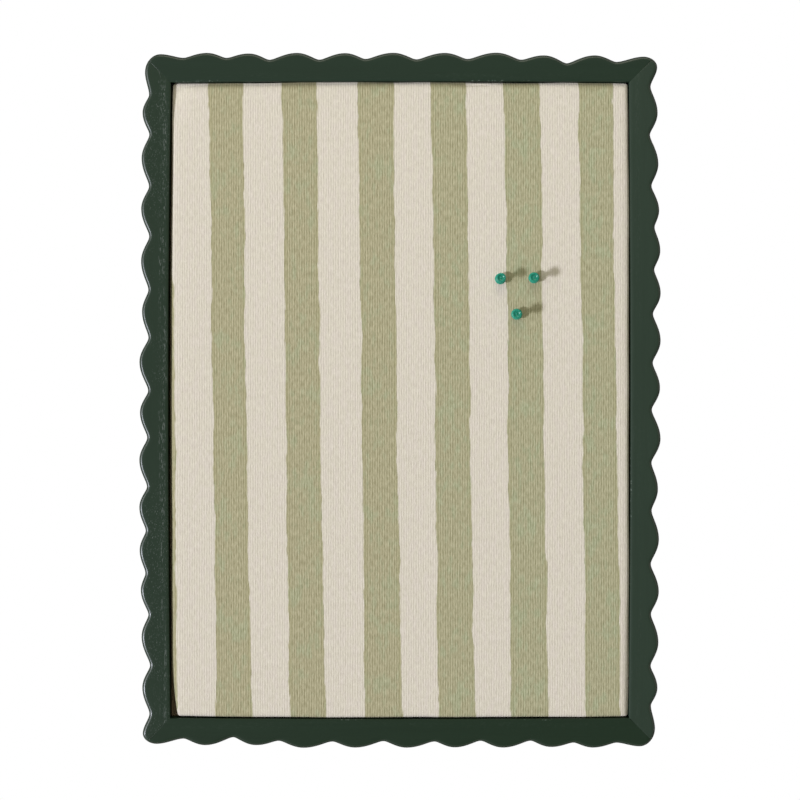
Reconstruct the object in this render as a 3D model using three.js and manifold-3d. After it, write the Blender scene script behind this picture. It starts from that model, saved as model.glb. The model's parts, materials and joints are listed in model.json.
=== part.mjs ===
// A wall-hung pin board: a scalloped wooden frame round a padded, fabric-covered panel.
// Millimetres. X is the width, Z is up, and the front faces -Y. The wall's face is y = 0,
// and the origin is the centre of the board there.

import * as THREE from 'three';
import { mergeVertices } from 'three/addons/utils/BufferGeometryUtils.js';
import Module from 'manifold-3d';

// Driving sizes of the frame
const SIGHT_WIDTH = 397;
const SIGHT_HEIGHT = 549;
const STILE_WIDTH = 26.5;
const RAIL_WIDTH = 25.5;
const FRAME_DEPTH = 18;
const EDGE_ROUND = 2.5;
const SCALLOP_DEPTH = 9.2;
const REBATE_WIDTH = 6;
const MITRE_GAP = 0.3;

// Driving sizes of the backing and the panel
const BACKING_THICKNESS = 3;
const BACKING_CLEARANCE = 0.5;
const CORE_THICKNESS = 9;
const WADDING_THICKNESS = 2;
const FABRIC_THICKNESS = 0.8;
const SOFT_GAP = 0.3;
const TURN_OVER = 25;
const PANEL_GAP_LEFT = 1.8;
const PANEL_GAP_RIGHT = 1.3;
const PANEL_GAP_TOP = 0.7;
const PANEL_GAP_BOTTOM = 1.3;
const PANEL_CORNER_RADIUS = 4.5;
const PANEL_EDGE_ROUND = 3;
const CORNER_DRAW_IN = 4.6;
const DRAW_IN_REACH = 30;

// Driving sizes of the V-nails
const V_NAIL_WING = 7;
const V_NAIL_THICKNESS = 0.8;
const V_NAIL_DEPTH = 10;
const V_NAIL_SINK = 0.4;
const V_NAIL_INNER_OFFSET = 3.5;
const V_NAIL_OUTER_OFFSET = 8.5;
const FASTENER_GAP = 0.3;

// Driving sizes of the turn buttons and their screws
const BUTTON_REACH = 16;
const BUTTON_WIDTH = 8;
const BUTTON_THICKNESS = 1;
const BUTTON_GAP = 0.2;
const BUTTON_SCREW_INSET = 5;
const BUTTON_SHANK_RADIUS = 1.3;
const BUTTON_SHANK_LENGTH = 10;
const BUTTON_HEAD_RADIUS = 3;
const BUTTON_HEAD_HEIGHT = 1.8;

// Driving sizes of the strap hangers
const HANGER_DROP = 102.5;
const STRAP_WIDTH = 10;
const STRAP_THICKNESS = 1;
const STRAP_SCREW_DISTANCE = 24;
const RING_WIRE_RADIUS = 1;
const RING_WIDTH = 16;
const RING_LENGTH = 15;
const RING_CORNER_RADIUS = 1.5;
const EYE_GAP = 0.3;
const HANGER_SHANK_RADIUS = 1.5;
const HANGER_SHANK_LENGTH = 13;
const HANGER_HEAD_RADIUS = 3.2;
const HANGER_HEAD_HEIGHT = 2;

// Driving sizes of the bumpers
const BUMPER_RADIUS = 4.75;
const BUMPER_HEIGHT = 5;
const BUMPER_EDGE = 1;
const BUMPER_RISE = 9.5;

// Driving sizes of the push pins
const PIN_HEIGHT = 12.7;
const PIN_FLANGE_RADIUS = 4.8;
const PIN_FLANGE_THICKNESS = 1.5;
const PIN_TOP_RADIUS = 4.15;
const PIN_TOP_THICKNESS = 1.8;
const PIN_WAIST_RADIUS = 2.5;
const PIN_DISH_RADIUS = 2.4;
const PIN_DISH_DEPTH = 0.5;
const PIN_EDGE = 0.4;
const WAIST_POWER = 4;
const PIN_STANDOFF = 4.5;
const NEEDLE_RADIUS = 0.55;
const NEEDLE_LENGTH = 10.5;
const NEEDLE_SEAT = 6;
const NEEDLE_POINT = 2.2;
const NEEDLE_GAP = 0.3;

// How far a cutting tool runs past the face that it opens
const OVERRUN = 1;

// The scalloped edge. The frame looks the same turned half round, so one rail and one stile are
// given, clockwise as seen from the front. A notch's place is a share of half the board's side,
// and drops are shares of SCALLOP_DEPTH below the line that touches the tallest scallops.
const RAIL_NOTCH_PLACE_SHARES = [
  -0.831, -0.666, -0.501, -0.309, -0.132, 0.063, 0.259, 0.464, 0.639, 0.831,
];
const RAIL_NOTCH_DROP_SHARES = [0.48, 0.48, 0.66, 0.65, 0.58, 0.62, 0.58, 0.65, 0.99, 0.86];
const RAIL_CREST_DROP_SHARES = [0.02, 0.08, 0.02, 0.04, 0.01, 0.02, 0, 0.26, 0.25];
const STILE_NOTCH_PLACE_SHARES = [
  -0.902, -0.763, -0.616, -0.497, -0.376, -0.249, -0.108,
  0.027, 0.18, 0.317, 0.471, 0.615, 0.764, 0.879,
];
const STILE_NOTCH_DROP_SHARES = [
  0.94, 1, 0.85, 0.56, 0.59, 0.71, 0.73, 0.82, 0.85, 0.84, 0.92, 0.9, 0.93, 0.91,
];
const STILE_CREST_DROP_SHARES = [
  0.28, 0.21, 0.14, 0.03, 0, 0, 0.06, 0.01, 0.25, 0.16, 0.17, 0.21, 0.3,
];
const CREST_PLACE_SHARE = 0.55;
const NOTCH_ROUND_SHARE = 0.26;

// The two kinds of corner: where the rounded corner reaches furthest up and furthest out.
const CORNER_BEFORE_RAIL_SHARES = {
  railPlaceShare: 0.918, railDropShare: 0.14, stilePlaceShare: 0.943, stileDropShare: 0.53,
};
const CORNER_AFTER_RAIL_SHARES = {
  railPlaceShare: 0.933, railDropShare: 0.37, stilePlaceShare: 0.958, stileDropShare: 0.32,
};
const NOTCH_HANDLE_SHARE = 0.25;
const CORNER_HANDLE_SHARE = 0.35;

// How far each corner of the covered panel is drawn in, as shares of CORNER_DRAW_IN
const DRAW_IN_SHARES = { topLeft: 0.1, topRight: 0.1, bottomRight: 0.1, bottomLeft: 1 };
const DRAW_IN_HEIGHT_SHARE = 0.1;

// Turn buttons up each stile, as shares of half the sight height
const BUTTON_PLACE_SHARES = [0.8, 0, -0.8];

// Push pins: where each needle goes in, as shares of half the sight size, and its lean in degrees
const PINS = [
  { xShare: 0.435, zShare: 0.38, leanRightDegrees: 0, leanUpDegrees: 1.5 },
  { xShare: 0.582, zShare: 0.384, leanRightDegrees: -3, leanUpDegrees: -1 },
  { xShare: 0.507, zShare: 0.27, leanRightDegrees: -2.5, leanUpDegrees: -1 },
];

// Counts
const SCALLOP_STEPS = 8;
const CORNER_STEPS = 6;
const HANDLE_STEPS = 5;
const ROUND_STEPS = 2;
const PANEL_SIDE_STEPS = 12;
const PANEL_CORNER_STEPS = 4;
const PANEL_ROUND_STEPS = 3;
const FASTENER_SIDES = 12;
const HOLE_SIDES = 10;
const NEEDLE_SIDES = 8;
const PIN_SIDES = 18;
const WAIST_STEPS = 6;
const RING_BEND_STEPS = 12;
const RING_CORNER_STEPS = 3;
const RING_SIDES = 8;
const BUTTON_END_STEPS = 6;

// Planes and places that follow from the sizes
const BOARD_WIDTH = SIGHT_WIDTH + 2 * STILE_WIDTH;
const BOARD_HEIGHT = SIGHT_HEIGHT + 2 * RAIL_WIDTH;
const FRAME_BACK = -BUMPER_HEIGHT;
const FRAME_FRONT = FRAME_BACK - FRAME_DEPTH;
const BACKING_FRONT = FRAME_BACK - BACKING_THICKNESS;
const CORE_BACK = BACKING_FRONT - FABRIC_THICKNESS;
const CORE_FRONT = CORE_BACK - CORE_THICKNESS;
const WADDING_FRONT = CORE_FRONT - WADDING_THICKNESS;
const COVER_FRONT = WADDING_FRONT - SOFT_GAP - FABRIC_THICKNESS;
const REBATE_X = SIGHT_WIDTH / 2 + REBATE_WIDTH;
const REBATE_Z = SIGHT_HEIGHT / 2 + REBATE_WIDTH;
const BUTTON_X = REBATE_X + BUTTON_SCREW_INSET;
const STRIP_MIDDLE_X = REBATE_X + (STILE_WIDTH - REBATE_WIDTH - SCALLOP_DEPTH) / 2;
const HANGER_Z = SIGHT_HEIGHT / 2 - HANGER_DROP;
const BUMPER_Z = -SIGHT_HEIGHT / 2 + BUMPER_RISE;

const wasm = await Module();
wasm.setup();

const paint = (color, roughness, metalness = 0) =>
  new THREE.MeshStandardMaterial({ color, roughness, metalness });
const MATERIALS = {
  paintedWood: () => paint(0x2c3a30, 0.45),
  hardboard: () => paint(0x6b4d30, 0.85),
  softboard: () => paint(0x8c7350, 0.95),
  wadding: () => paint(0xe9e6dc, 1),
  fabric: () => paint(0xc4bfa4, 0.95),
  plastic: () => paint(0x0f8a6c, 0.3),
  steel: () => paint(0xb8b8b4, 0.35, 1),
  rubber: () => paint(0x2a2a2a, 0.8),
};

// A closed solid for cutting and joining, from a closed geometry
function solid(geometry) {
  const bare = geometry.clone();
  bare.deleteAttribute('normal');
  bare.deleteAttribute('uv');
  const merged = mergeVertices(bare);
  const kept = [];
  const index = merged.index.array;
  for (let i = 0; i < index.length; i += 3) {
    const [a, b, c] = [index[i], index[i + 1], index[i + 2]];
    if (a !== b && b !== c && c !== a) kept.push(a, b, c);
  }
  const mesh = new wasm.Mesh({
    numProp: 3,
    vertProperties: new Float32Array(merged.attributes.position.array),
    triVerts: new Uint32Array(kept),
  });
  mesh.merge();
  return new wasm.Manifold(mesh);
}

function geometryOf(body) {
  const { vertProperties, triVerts } = body.getMesh();
  const geometry = new THREE.BufferGeometry();
  geometry.setAttribute('position', new THREE.BufferAttribute(vertProperties, 3));
  geometry.setIndex(new THREE.BufferAttribute(triVerts, 1));
  geometry.computeVertexNormals();
  return geometry;
}

// Turns a shape drawn in x and z into a slab that runs from backY to frontY
function slab(shape, backY, frontY, options = {}) {
  const settings = { depth: backY - frontY, bevelEnabled: false, ...options };
  return new THREE.ExtrudeGeometry(shape, settings).rotateX(Math.PI / 2).translate(0, backY, 0);
}

// A slab whose front edge is rounded, cut square at backY
function roundedSlab(shape, backY, frontY, radius, steps) {
  const straightFront = frontY + radius;
  const blank = solid(slab(shape, backY + radius, straightFront, {
    bevelEnabled: true,
    bevelThickness: radius,
    bevelSize: radius,
    bevelOffset: -radius,
    bevelSegments: steps,
  }));
  const keep = block(BOARD_WIDTH, backY, frontY - OVERRUN, BOARD_HEIGHT);
  return blank.intersect(solid(keep));
}

// A box centred on x = 0 and z = 0
function block(width, backY, frontY, height) {
  const depth = backY - frontY;
  return new THREE.BoxGeometry(width, depth, height).translate(0, frontY + depth / 2, 0);
}

// A round tool or shank along Y
function rod(radius, backY, frontY, sides) {
  const length = backY - frontY;
  return new THREE.CylinderGeometry(radius, radius, length, sides)
    .translate(0, frontY + length / 2, 0);
}

// A lathe turned about Y, from [radius, y] pairs
function turned(profile, sides) {
  return new THREE.LatheGeometry(profile.map(([r, y]) => new THREE.Vector2(r, y)), sides);
}

const mix = (a, b, t) => a + (b - a) * t;

// A scallop's height as a share of its rise, with s from 0 at one notch to 1 at the next
function lobe(s) {
  const r = NOTCH_ROUND_SHARE;
  return (Math.hypot(Math.sin(Math.PI * s), r) - r) / (Math.hypot(1, r) - r);
}

// The scalloped edge of one side: points [along, out], clockwise, between its outer notches
function scallops(halfLength, line, placeShares, dropShares, crestShares) {
  const notches = placeShares.map((place, i) => [
    place * halfLength,
    line - dropShares[i] * SCALLOP_DEPTH,
  ]);
  const points = [];
  for (let i = 0; i + 1 < notches.length; i += 1) {
    const [start, end] = [notches[i], notches[i + 1]];
    const crest = line - crestShares[i] * SCALLOP_DEPTH;
    const rise = crest - mix(start[1], end[1], CREST_PLACE_SHARE);
    for (let k = 0; k < SCALLOP_STEPS; k += 1) {
      const s = (1 - Math.cos((Math.PI * k) / SCALLOP_STEPS)) / 2;
      const t = s < 1 / 2 ? 2 * CREST_PLACE_SHARE * s : 1 - 2 * (1 - CREST_PLACE_SHARE) * (1 - s);
      points.push([mix(start[0], end[0], t), mix(start[1], end[1], t) + rise * lobe(s)]);
    }
  }
  points.push(notches.at(-1));
  return points;
}

// A smooth run from a notch out to where a rounded corner reaches furthest
function cornerRun(notch, reach) {
  const span = new THREE.Vector2().subVectors(reach, notch);
  const alongRail = Math.abs(span.x) > Math.abs(span.y);
  const flat = alongRail ? new THREE.Vector2(span.x, 0) : new THREE.Vector2(0, span.y);
  const curve = new THREE.CubicBezierCurve(
    notch,
    notch.clone().addScaledVector(flat, NOTCH_HANDLE_SHARE),
    reach.clone().addScaledVector(flat, -CORNER_HANDLE_SHARE),
    reach,
  );
  return curve.getPoints(HANDLE_STEPS);
}

// The top right quarter of a corner's outline, from the rail's notch to the stile's notch
function corner(railNotch, stileNotch, shares) {
  const top = new THREE.Vector2(
    (shares.railPlaceShare * BOARD_WIDTH) / 2,
    BOARD_HEIGHT / 2 - shares.railDropShare * SCALLOP_DEPTH,
  );
  const side = new THREE.Vector2(
    BOARD_WIDTH / 2 - shares.stileDropShare * SCALLOP_DEPTH,
    (shares.stilePlaceShare * BOARD_HEIGHT) / 2,
  );
  const round = new THREE.EllipseCurve(
    top.x, side.y, side.x - top.x, top.y - side.y, Math.PI / 2, 0, true,
  );
  return [
    ...cornerRun(railNotch, top).slice(1, -1),
    ...round.getPoints(CORNER_STEPS),
    ...cornerRun(stileNotch, side).reverse().slice(1, -1),
  ];
}

// The whole outer edge of the frame, in x and z
function frameOutline() {
  const rail = scallops(
    BOARD_WIDTH / 2, BOARD_HEIGHT / 2,
    RAIL_NOTCH_PLACE_SHARES, RAIL_NOTCH_DROP_SHARES, RAIL_CREST_DROP_SHARES,
  ).map(([along, out]) => new THREE.Vector2(along, out));
  const stile = scallops(
    BOARD_HEIGHT / 2, BOARD_WIDTH / 2,
    STILE_NOTCH_PLACE_SHARES, STILE_NOTCH_DROP_SHARES, STILE_CREST_DROP_SHARES,
  ).map(([along, out]) => new THREE.Vector2(out, -along));
  const afterRail = corner(rail.at(-1), stile[0], CORNER_AFTER_RAIL_SHARES);
  const mirrored = ({ x, y }) => new THREE.Vector2(x, -y);
  const railUnder = new THREE.Vector2(-rail[0].x, rail[0].y);
  const beforeRail = corner(railUnder, mirrored(stile.at(-1)), CORNER_BEFORE_RAIL_SHARES)
    .map(mirrored).reverse();
  const half = [...rail, ...afterRail, ...stile, ...beforeRail];
  const otherHalf = half.map(({ x, y }) => new THREE.Vector2(-x, -y));
  return [...half, ...otherHalf].reverse();
}

// The part of the frame blank that one mitred piece keeps, for a turn of 0 or a quarter
function mitreWedge(width, height, turn) {
  const shift = MITRE_GAP * Math.SQRT1_2;
  const reach = STILE_WIDTH + RAIL_WIDTH;
  const inner = REBATE_WIDTH;
  const shape = new THREE.Shape([
    new THREE.Vector2(-width / 2 + inner + shift, height / 2 - inner),
    new THREE.Vector2(width / 2 - inner - shift, height / 2 - inner),
    new THREE.Vector2(width / 2 + reach - shift, height / 2 + reach),
    new THREE.Vector2(-width / 2 - reach + shift, height / 2 + reach),
  ]);
  return solid(slab(shape, FRAME_BACK, FRAME_FRONT - OVERRUN).rotateY(turn));
}

// A V-nail seen from behind: two wings at a right angle
function vNailShape(thickness, wing) {
  const half = thickness / 2;
  return new THREE.Shape([
    new THREE.Vector2(half, half),
    new THREE.Vector2(-wing, half),
    new THREE.Vector2(-wing, -half),
    new THREE.Vector2(-half, -half),
    new THREE.Vector2(-half, -wing),
    new THREE.Vector2(half, -wing),
  ]);
}

// The V-nails' places: two along each mitre, with the wings turned towards the board's middle
function vNailPlaces() {
  const places = [];
  for (const [signX, signZ, turn] of [[1, 1, 0], [1, -1, 1], [-1, -1, 2], [-1, 1, 3]]) {
    for (const offset of [V_NAIL_INNER_OFFSET, V_NAIL_OUTER_OFFSET]) {
      places.push({
        x: signX * (REBATE_X + offset),
        z: signZ * (REBATE_Z + offset),
        turn: (turn * Math.PI) / 2,
      });
    }
  }
  return places;
}

const place = (geometry, x, z) => geometry.translate(x, 0, z);

function frameBlank() {
  const shape = new THREE.Shape(frameOutline());
  let blank = roundedSlab(shape, FRAME_BACK, FRAME_FRONT, EDGE_ROUND, ROUND_STEPS);
  const cut = (geometry) => {
    blank = blank.subtract(solid(geometry));
  };
  cut(block(SIGHT_WIDTH, FRAME_BACK + OVERRUN, FRAME_FRONT - OVERRUN, SIGHT_HEIGHT));
  cut(block(2 * REBATE_X, FRAME_BACK + OVERRUN, BACKING_FRONT, 2 * REBATE_Z));
  const slot = vNailShape(V_NAIL_THICKNESS + 2 * FASTENER_GAP, V_NAIL_WING + FASTENER_GAP);
  const slotFront = FRAME_BACK - V_NAIL_SINK - V_NAIL_DEPTH - FASTENER_GAP;
  for (const { x, z, turn } of vNailPlaces()) {
    cut(place(slab(slot, FRAME_BACK + OVERRUN, slotFront).rotateY(turn), x, z));
  }
  const buttonHoleFront = FRAME_BACK - BUTTON_SHANK_LENGTH - FASTENER_GAP;
  const hangerHoleFront = FRAME_BACK - HANGER_SHANK_LENGTH - FASTENER_GAP;
  const buttonHoleRadius = BUTTON_SHANK_RADIUS + FASTENER_GAP;
  const hangerHoleRadius = HANGER_SHANK_RADIUS + FASTENER_GAP;
  for (const side of [-1, 1]) {
    for (const share of BUTTON_PLACE_SHARES) {
      const hole = rod(buttonHoleRadius, FRAME_BACK + OVERRUN, buttonHoleFront, HOLE_SIDES);
      cut(place(hole, side * BUTTON_X, (share * SIGHT_HEIGHT) / 2));
    }
    const hole = rod(hangerHoleRadius, FRAME_BACK + OVERRUN, hangerHoleFront, HOLE_SIDES);
    cut(place(hole, side * STRIP_MIDDLE_X, HANGER_Z - STRAP_SCREW_DISTANCE));
  }
  return blank;
}

// The covered panel's outline, drawn in at its corners, moved in by inset
function panelShape(inset) {
  const left = -SIGHT_WIDTH / 2 + PANEL_GAP_LEFT + inset;
  const right = SIGHT_WIDTH / 2 - PANEL_GAP_RIGHT - inset;
  const bottom = -SIGHT_HEIGHT / 2 + PANEL_GAP_BOTTOM + inset;
  const top = SIGHT_HEIGHT / 2 - PANEL_GAP_TOP - inset;
  const radius = PANEL_CORNER_RADIUS - inset;
  const corners = [
    { x: left, z: bottom, inX: 1, inZ: 1, share: DRAW_IN_SHARES.bottomLeft },
    { x: right, z: bottom, inX: -1, inZ: 1, share: DRAW_IN_SHARES.bottomRight },
    { x: right, z: top, inX: -1, inZ: -1, share: DRAW_IN_SHARES.topRight },
    { x: left, z: top, inX: 1, inZ: -1, share: DRAW_IN_SHARES.topLeft },
  ].map((c) => {
    const draw = c.share * CORNER_DRAW_IN;
    return { ...c, draw, drawZ: draw * DRAW_IN_HEIGHT_SHARE };
  });
  const points = [];
  corners.forEach((c, i) => {
    const start = Math.PI + (i * Math.PI) / 2;
    const centreX = c.x + c.inX * (radius + c.draw);
    const centreZ = c.z + c.inZ * (radius + c.drawZ);
    for (let k = 0; k <= PANEL_CORNER_STEPS; k += 1) {
      const angle = start + (k / PANEL_CORNER_STEPS) * (Math.PI / 2);
      const x = centreX + radius * Math.cos(angle);
      points.push(new THREE.Vector2(x, centreZ + radius * Math.sin(angle)));
    }
    const next = corners[(i + 1) % corners.length];
    const alongX = next.z === c.z;
    const from = alongX ? centreX : centreZ;
    const to = alongX
      ? next.x + next.inX * (radius + next.draw)
      : next.z + next.inZ * (radius + next.drawZ);
    for (let k = 1; k < PANEL_SIDE_STEPS; k += 1) {
      const s = Math.sin((k / PANEL_SIDE_STEPS - 1 / 2) * Math.PI);
      const near = s < 0 ? c : next;
      const toCorner = (1 - Math.abs(s)) * Math.abs(to - from) / 2;
      const pull = Math.max(0, 1 - toCorner / DRAW_IN_REACH) ** 2;
      const along = mix(from, to, (s + 1) / 2);
      points.push(alongX
        ? new THREE.Vector2(along, c.z + c.inZ * near.drawZ * pull)
        : new THREE.Vector2(c.x + c.inX * near.draw * pull, along));
    }
  });
  return new THREE.Shape(points);
}

// Each pin's group has its origin where the needle meets the fabric, and its own lean
function pinPlace(pin) {
  const group = new THREE.Group();
  group.position.set(
    (pin.xShare * SIGHT_WIDTH) / 2, COVER_FRONT, (pin.zShare * SIGHT_HEIGHT) / 2,
  );
  group.rotation.set(
    THREE.MathUtils.degToRad(-pin.leanUpDegrees), 0, THREE.MathUtils.degToRad(pin.leanRightDegrees),
  );
  group.updateMatrixWorld();
  return group;
}

function cutNeedleHoles(body) {
  let left = body;
  for (const pin of PINS) {
    const depth = NEEDLE_LENGTH + NEEDLE_GAP;
    const hole = rod(NEEDLE_RADIUS + NEEDLE_GAP, depth, -PANEL_EDGE_ROUND, NEEDLE_SIDES);
    left = left.subtract(solid(hole.applyMatrix4(pinPlace(pin).matrixWorld)));
  }
  return left;
}

function fabricCover() {
  const outer = roundedSlab(
    panelShape(0), BACKING_FRONT, COVER_FRONT, PANEL_EDGE_ROUND, PANEL_ROUND_STEPS,
  );
  const inner = roundedSlab(
    panelShape(FABRIC_THICKNESS), CORE_BACK, COVER_FRONT + FABRIC_THICKNESS,
    PANEL_EDGE_ROUND - FABRIC_THICKNESS, PANEL_ROUND_STEPS,
  );
  const window = block(
    SIGHT_WIDTH - 2 * TURN_OVER, BACKING_FRONT + OVERRUN,
    CORE_BACK - OVERRUN, SIGHT_HEIGHT - 2 * TURN_OVER,
  );
  return cutNeedleHoles(outer.subtract(inner).subtract(solid(window)));
}

function wadding() {
  const inset = FABRIC_THICKNESS + SOFT_GAP;
  return cutNeedleHoles(roundedSlab(
    panelShape(inset), CORE_FRONT, WADDING_FRONT, PANEL_EDGE_ROUND - inset, PANEL_ROUND_STEPS,
  ));
}

function coreBoard() {
  const shape = panelShape(FABRIC_THICKNESS + SOFT_GAP);
  return cutNeedleHoles(solid(slab(shape, CORE_BACK, CORE_FRONT)));
}

function backingBoard() {
  const width = 2 * (REBATE_X - BACKING_CLEARANCE);
  const height = 2 * (REBATE_Z - BACKING_CLEARANCE);
  return block(width, FRAME_BACK, BACKING_FRONT, height);
}

// A pan-head screw along Y, its seat under the head at y = 0 and its head behind it
function screw(headRadius, headHeight, shankRadius, shankLength) {
  return turned([
    [0, -shankLength],
    [shankRadius, -shankLength + 2 * shankRadius],
    [shankRadius, 0],
    [headRadius, 0],
    [headRadius, headHeight / 2],
    [(headRadius + shankRadius) / 2, headHeight],
    [0, headHeight],
  ], FASTENER_SIDES);
}

// A turn button that points along +X from its screw
function turnButton() {
  const end = BUTTON_WIDTH / 2;
  const shape = new THREE.Shape();
  shape.absarc(0, 0, end, Math.PI / 2, (3 * Math.PI) / 2, false);
  shape.absarc(BUTTON_REACH - end, 0, end, -Math.PI / 2, Math.PI / 2, false);
  const hole = new THREE.Path();
  hole.absarc(0, 0, BUTTON_SHANK_RADIUS + FASTENER_GAP, 0, 2 * Math.PI, true);
  shape.holes.push(hole);
  return slab(shape, BUTTON_THICKNESS, 0, { curveSegments: BUTTON_END_STEPS });
}

// A strap hanger's plate: a strap with a screw hole, rolled into an eye round the ring's bar.
// Its origin is the middle of the eye's bore, and the strap runs down from there.
function hangerPlate() {
  const bore = RING_WIRE_RADIUS + EYE_GAP;
  const eye = bore + STRAP_THICKNESS;
  const half = STRAP_WIDTH / 2;
  const strap = new THREE.Shape();
  strap.moveTo(-half, 0);
  strap.absarc(0, -STRAP_SCREW_DISTANCE, half, Math.PI, 2 * Math.PI, false);
  strap.lineTo(half, 0);
  const hole = new THREE.Path();
  const holeRadius = HANGER_SHANK_RADIUS + FASTENER_GAP;
  hole.absarc(0, -STRAP_SCREW_DISTANCE, holeRadius, 0, 2 * Math.PI, true);
  strap.holes.push(hole);
  const flat = slab(strap, -eye + STRAP_THICKNESS, -eye, { curveSegments: BUTTON_END_STEPS });
  const along = (radius, length) => new THREE.CylinderGeometry(
    radius, radius, length, FASTENER_SIDES,
  ).rotateZ(Math.PI / 2);
  return solid(flat)
    .add(solid(along(eye, STRAP_WIDTH)))
    .subtract(solid(along(bore, STRAP_WIDTH + OVERRUN)));
}

// The ring's middle line in x and z: a bar through the eye at z = 0, and a round bend below
function ringLine() {
  const halfWidth = RING_WIDTH / 2 - RING_WIRE_RADIUS;
  const bendZ = halfWidth + RING_WIRE_RADIUS - RING_LENGTH;
  const r = RING_CORNER_RADIUS;
  const arc = (x, z, radius, from, to, steps) =>
    new THREE.EllipseCurve(x, z, radius, radius, from, to, false).getPoints(steps);
  return [
    ...arc(halfWidth - r, -r, r, 0, Math.PI / 2, RING_CORNER_STEPS),
    ...arc(-halfWidth + r, -r, r, Math.PI / 2, Math.PI, RING_CORNER_STEPS),
    ...arc(0, bendZ, halfWidth, Math.PI, 2 * Math.PI, RING_BEND_STEPS),
  ];
}

// A round wire bent into a closed ring that lies in the x and z plane
function wireRing(line, radius, sides) {
  const positions = [];
  const index = [];
  const count = line.length;
  line.forEach((point, i) => {
    const before = line[(i + count - 1) % count];
    const after = line[(i + 1) % count];
    const along = new THREE.Vector2().subVectors(after, before).normalize();
    const out = new THREE.Vector2(along.y, -along.x);
    for (let k = 0; k < sides; k += 1) {
      const angle = (2 * Math.PI * k) / sides;
      const reach = radius * Math.cos(angle);
      positions.push(point.x + out.x * reach, radius * Math.sin(angle), point.y + out.y * reach);
      const nextPoint = ((i + 1) % count) * sides;
      const nextSide = (k + 1) % sides;
      const [a, b] = [i * sides + k, i * sides + nextSide];
      const [c, d] = [nextPoint + nextSide, nextPoint + k];
      index.push(a, b, c, a, c, d);
    }
  });
  const geometry = new THREE.BufferGeometry();
  geometry.setAttribute('position', new THREE.Float32BufferAttribute(positions, 3));
  geometry.setIndex(index);
  geometry.computeVertexNormals();
  return geometry;
}

function bumper() {
  return turned([
    [0, 0],
    [BUMPER_RADIUS, 0],
    [BUMPER_RADIUS, BUMPER_HEIGHT - BUMPER_EDGE],
    [BUMPER_RADIUS - BUMPER_EDGE, BUMPER_HEIGHT],
    [0, BUMPER_HEIGHT],
  ], FASTENER_SIDES);
}

// A push pin's head: a flange, a waist and a dished top, bored for the needle.
// y = 0 is the underside of the flange.
function pinHead() {
  const bore = NEEDLE_RADIUS + NEEDLE_GAP;
  const waistStart = PIN_FLANGE_THICKNESS;
  const waistEnd = PIN_HEIGHT - PIN_TOP_THICKNESS;
  const waist = [];
  for (let k = 0; k <= WAIST_STEPS; k += 1) {
    const t = k / WAIST_STEPS;
    const side = (t < 1 / 2 ? PIN_FLANGE_RADIUS : PIN_TOP_RADIUS) - PIN_EDGE;
    const swell = (side - PIN_WAIST_RADIUS) * (2 * t - 1) ** WAIST_POWER;
    waist.push([PIN_WAIST_RADIUS + swell, mix(waistStart, waistEnd, t)]);
  }
  return turned([
    [0, NEEDLE_SEAT + NEEDLE_GAP],
    [bore, NEEDLE_SEAT + NEEDLE_GAP],
    [bore, 0],
    [PIN_FLANGE_RADIUS - PIN_EDGE, 0],
    [PIN_FLANGE_RADIUS, PIN_EDGE],
    [PIN_FLANGE_RADIUS, PIN_FLANGE_THICKNESS - PIN_EDGE],
    ...waist,
    [PIN_TOP_RADIUS, waistEnd + PIN_EDGE],
    [PIN_TOP_RADIUS, PIN_HEIGHT - PIN_EDGE],
    [PIN_TOP_RADIUS - PIN_EDGE, PIN_HEIGHT],
    [PIN_DISH_RADIUS, PIN_HEIGHT],
    [PIN_DISH_RADIUS - PIN_DISH_DEPTH, PIN_HEIGHT - PIN_DISH_DEPTH],
    [0, PIN_HEIGHT - PIN_DISH_DEPTH],
  ], PIN_SIDES);
}

function pinNeedle() {
  return turned([
    [0, -NEEDLE_LENGTH],
    [NEEDLE_RADIUS, -NEEDLE_LENGTH + NEEDLE_POINT],
    [NEEDLE_RADIUS, NEEDLE_SEAT],
    [0, NEEDLE_SEAT],
  ], NEEDLE_SIDES);
}

const board = new THREE.Group();

function add(name, geometry, material, parent = board) {
  const mesh = new THREE.Mesh(geometry, material());
  mesh.name = name;
  parent.add(mesh);
  return mesh;
}

function addFrame() {
  const blank = frameBlank();
  const pieces = [
    ['rail_top', SIGHT_WIDTH, SIGHT_HEIGHT, 0],
    ['stile_right', SIGHT_HEIGHT, SIGHT_WIDTH, 1],
    ['rail_bottom', SIGHT_WIDTH, SIGHT_HEIGHT, 2],
    ['stile_left', SIGHT_HEIGHT, SIGHT_WIDTH, 3],
  ];
  for (const [name, width, height, quarters] of pieces) {
    const wedge = mitreWedge(width, height, (quarters * Math.PI) / 2);
    add(name, geometryOf(blank.intersect(wedge)), MATERIALS.paintedWood);
  }
  const nail = vNailShape(V_NAIL_THICKNESS, V_NAIL_WING);
  const nailBack = FRAME_BACK - V_NAIL_SINK;
  vNailPlaces().forEach(({ x, z, turn }, i) => {
    const body = slab(nail, nailBack, nailBack - V_NAIL_DEPTH).rotateY(turn);
    add(`v_nail_${i + 1}`, place(body, x, z), MATERIALS.steel);
  });
}

function addPanel() {
  add('backing_board', backingBoard(), MATERIALS.hardboard);
  add('core_board', geometryOf(coreBoard()), MATERIALS.softboard);
  add('wadding', geometryOf(wadding()), MATERIALS.wadding);
  add('fabric_cover', geometryOf(fabricCover()), MATERIALS.fabric);
}

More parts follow.
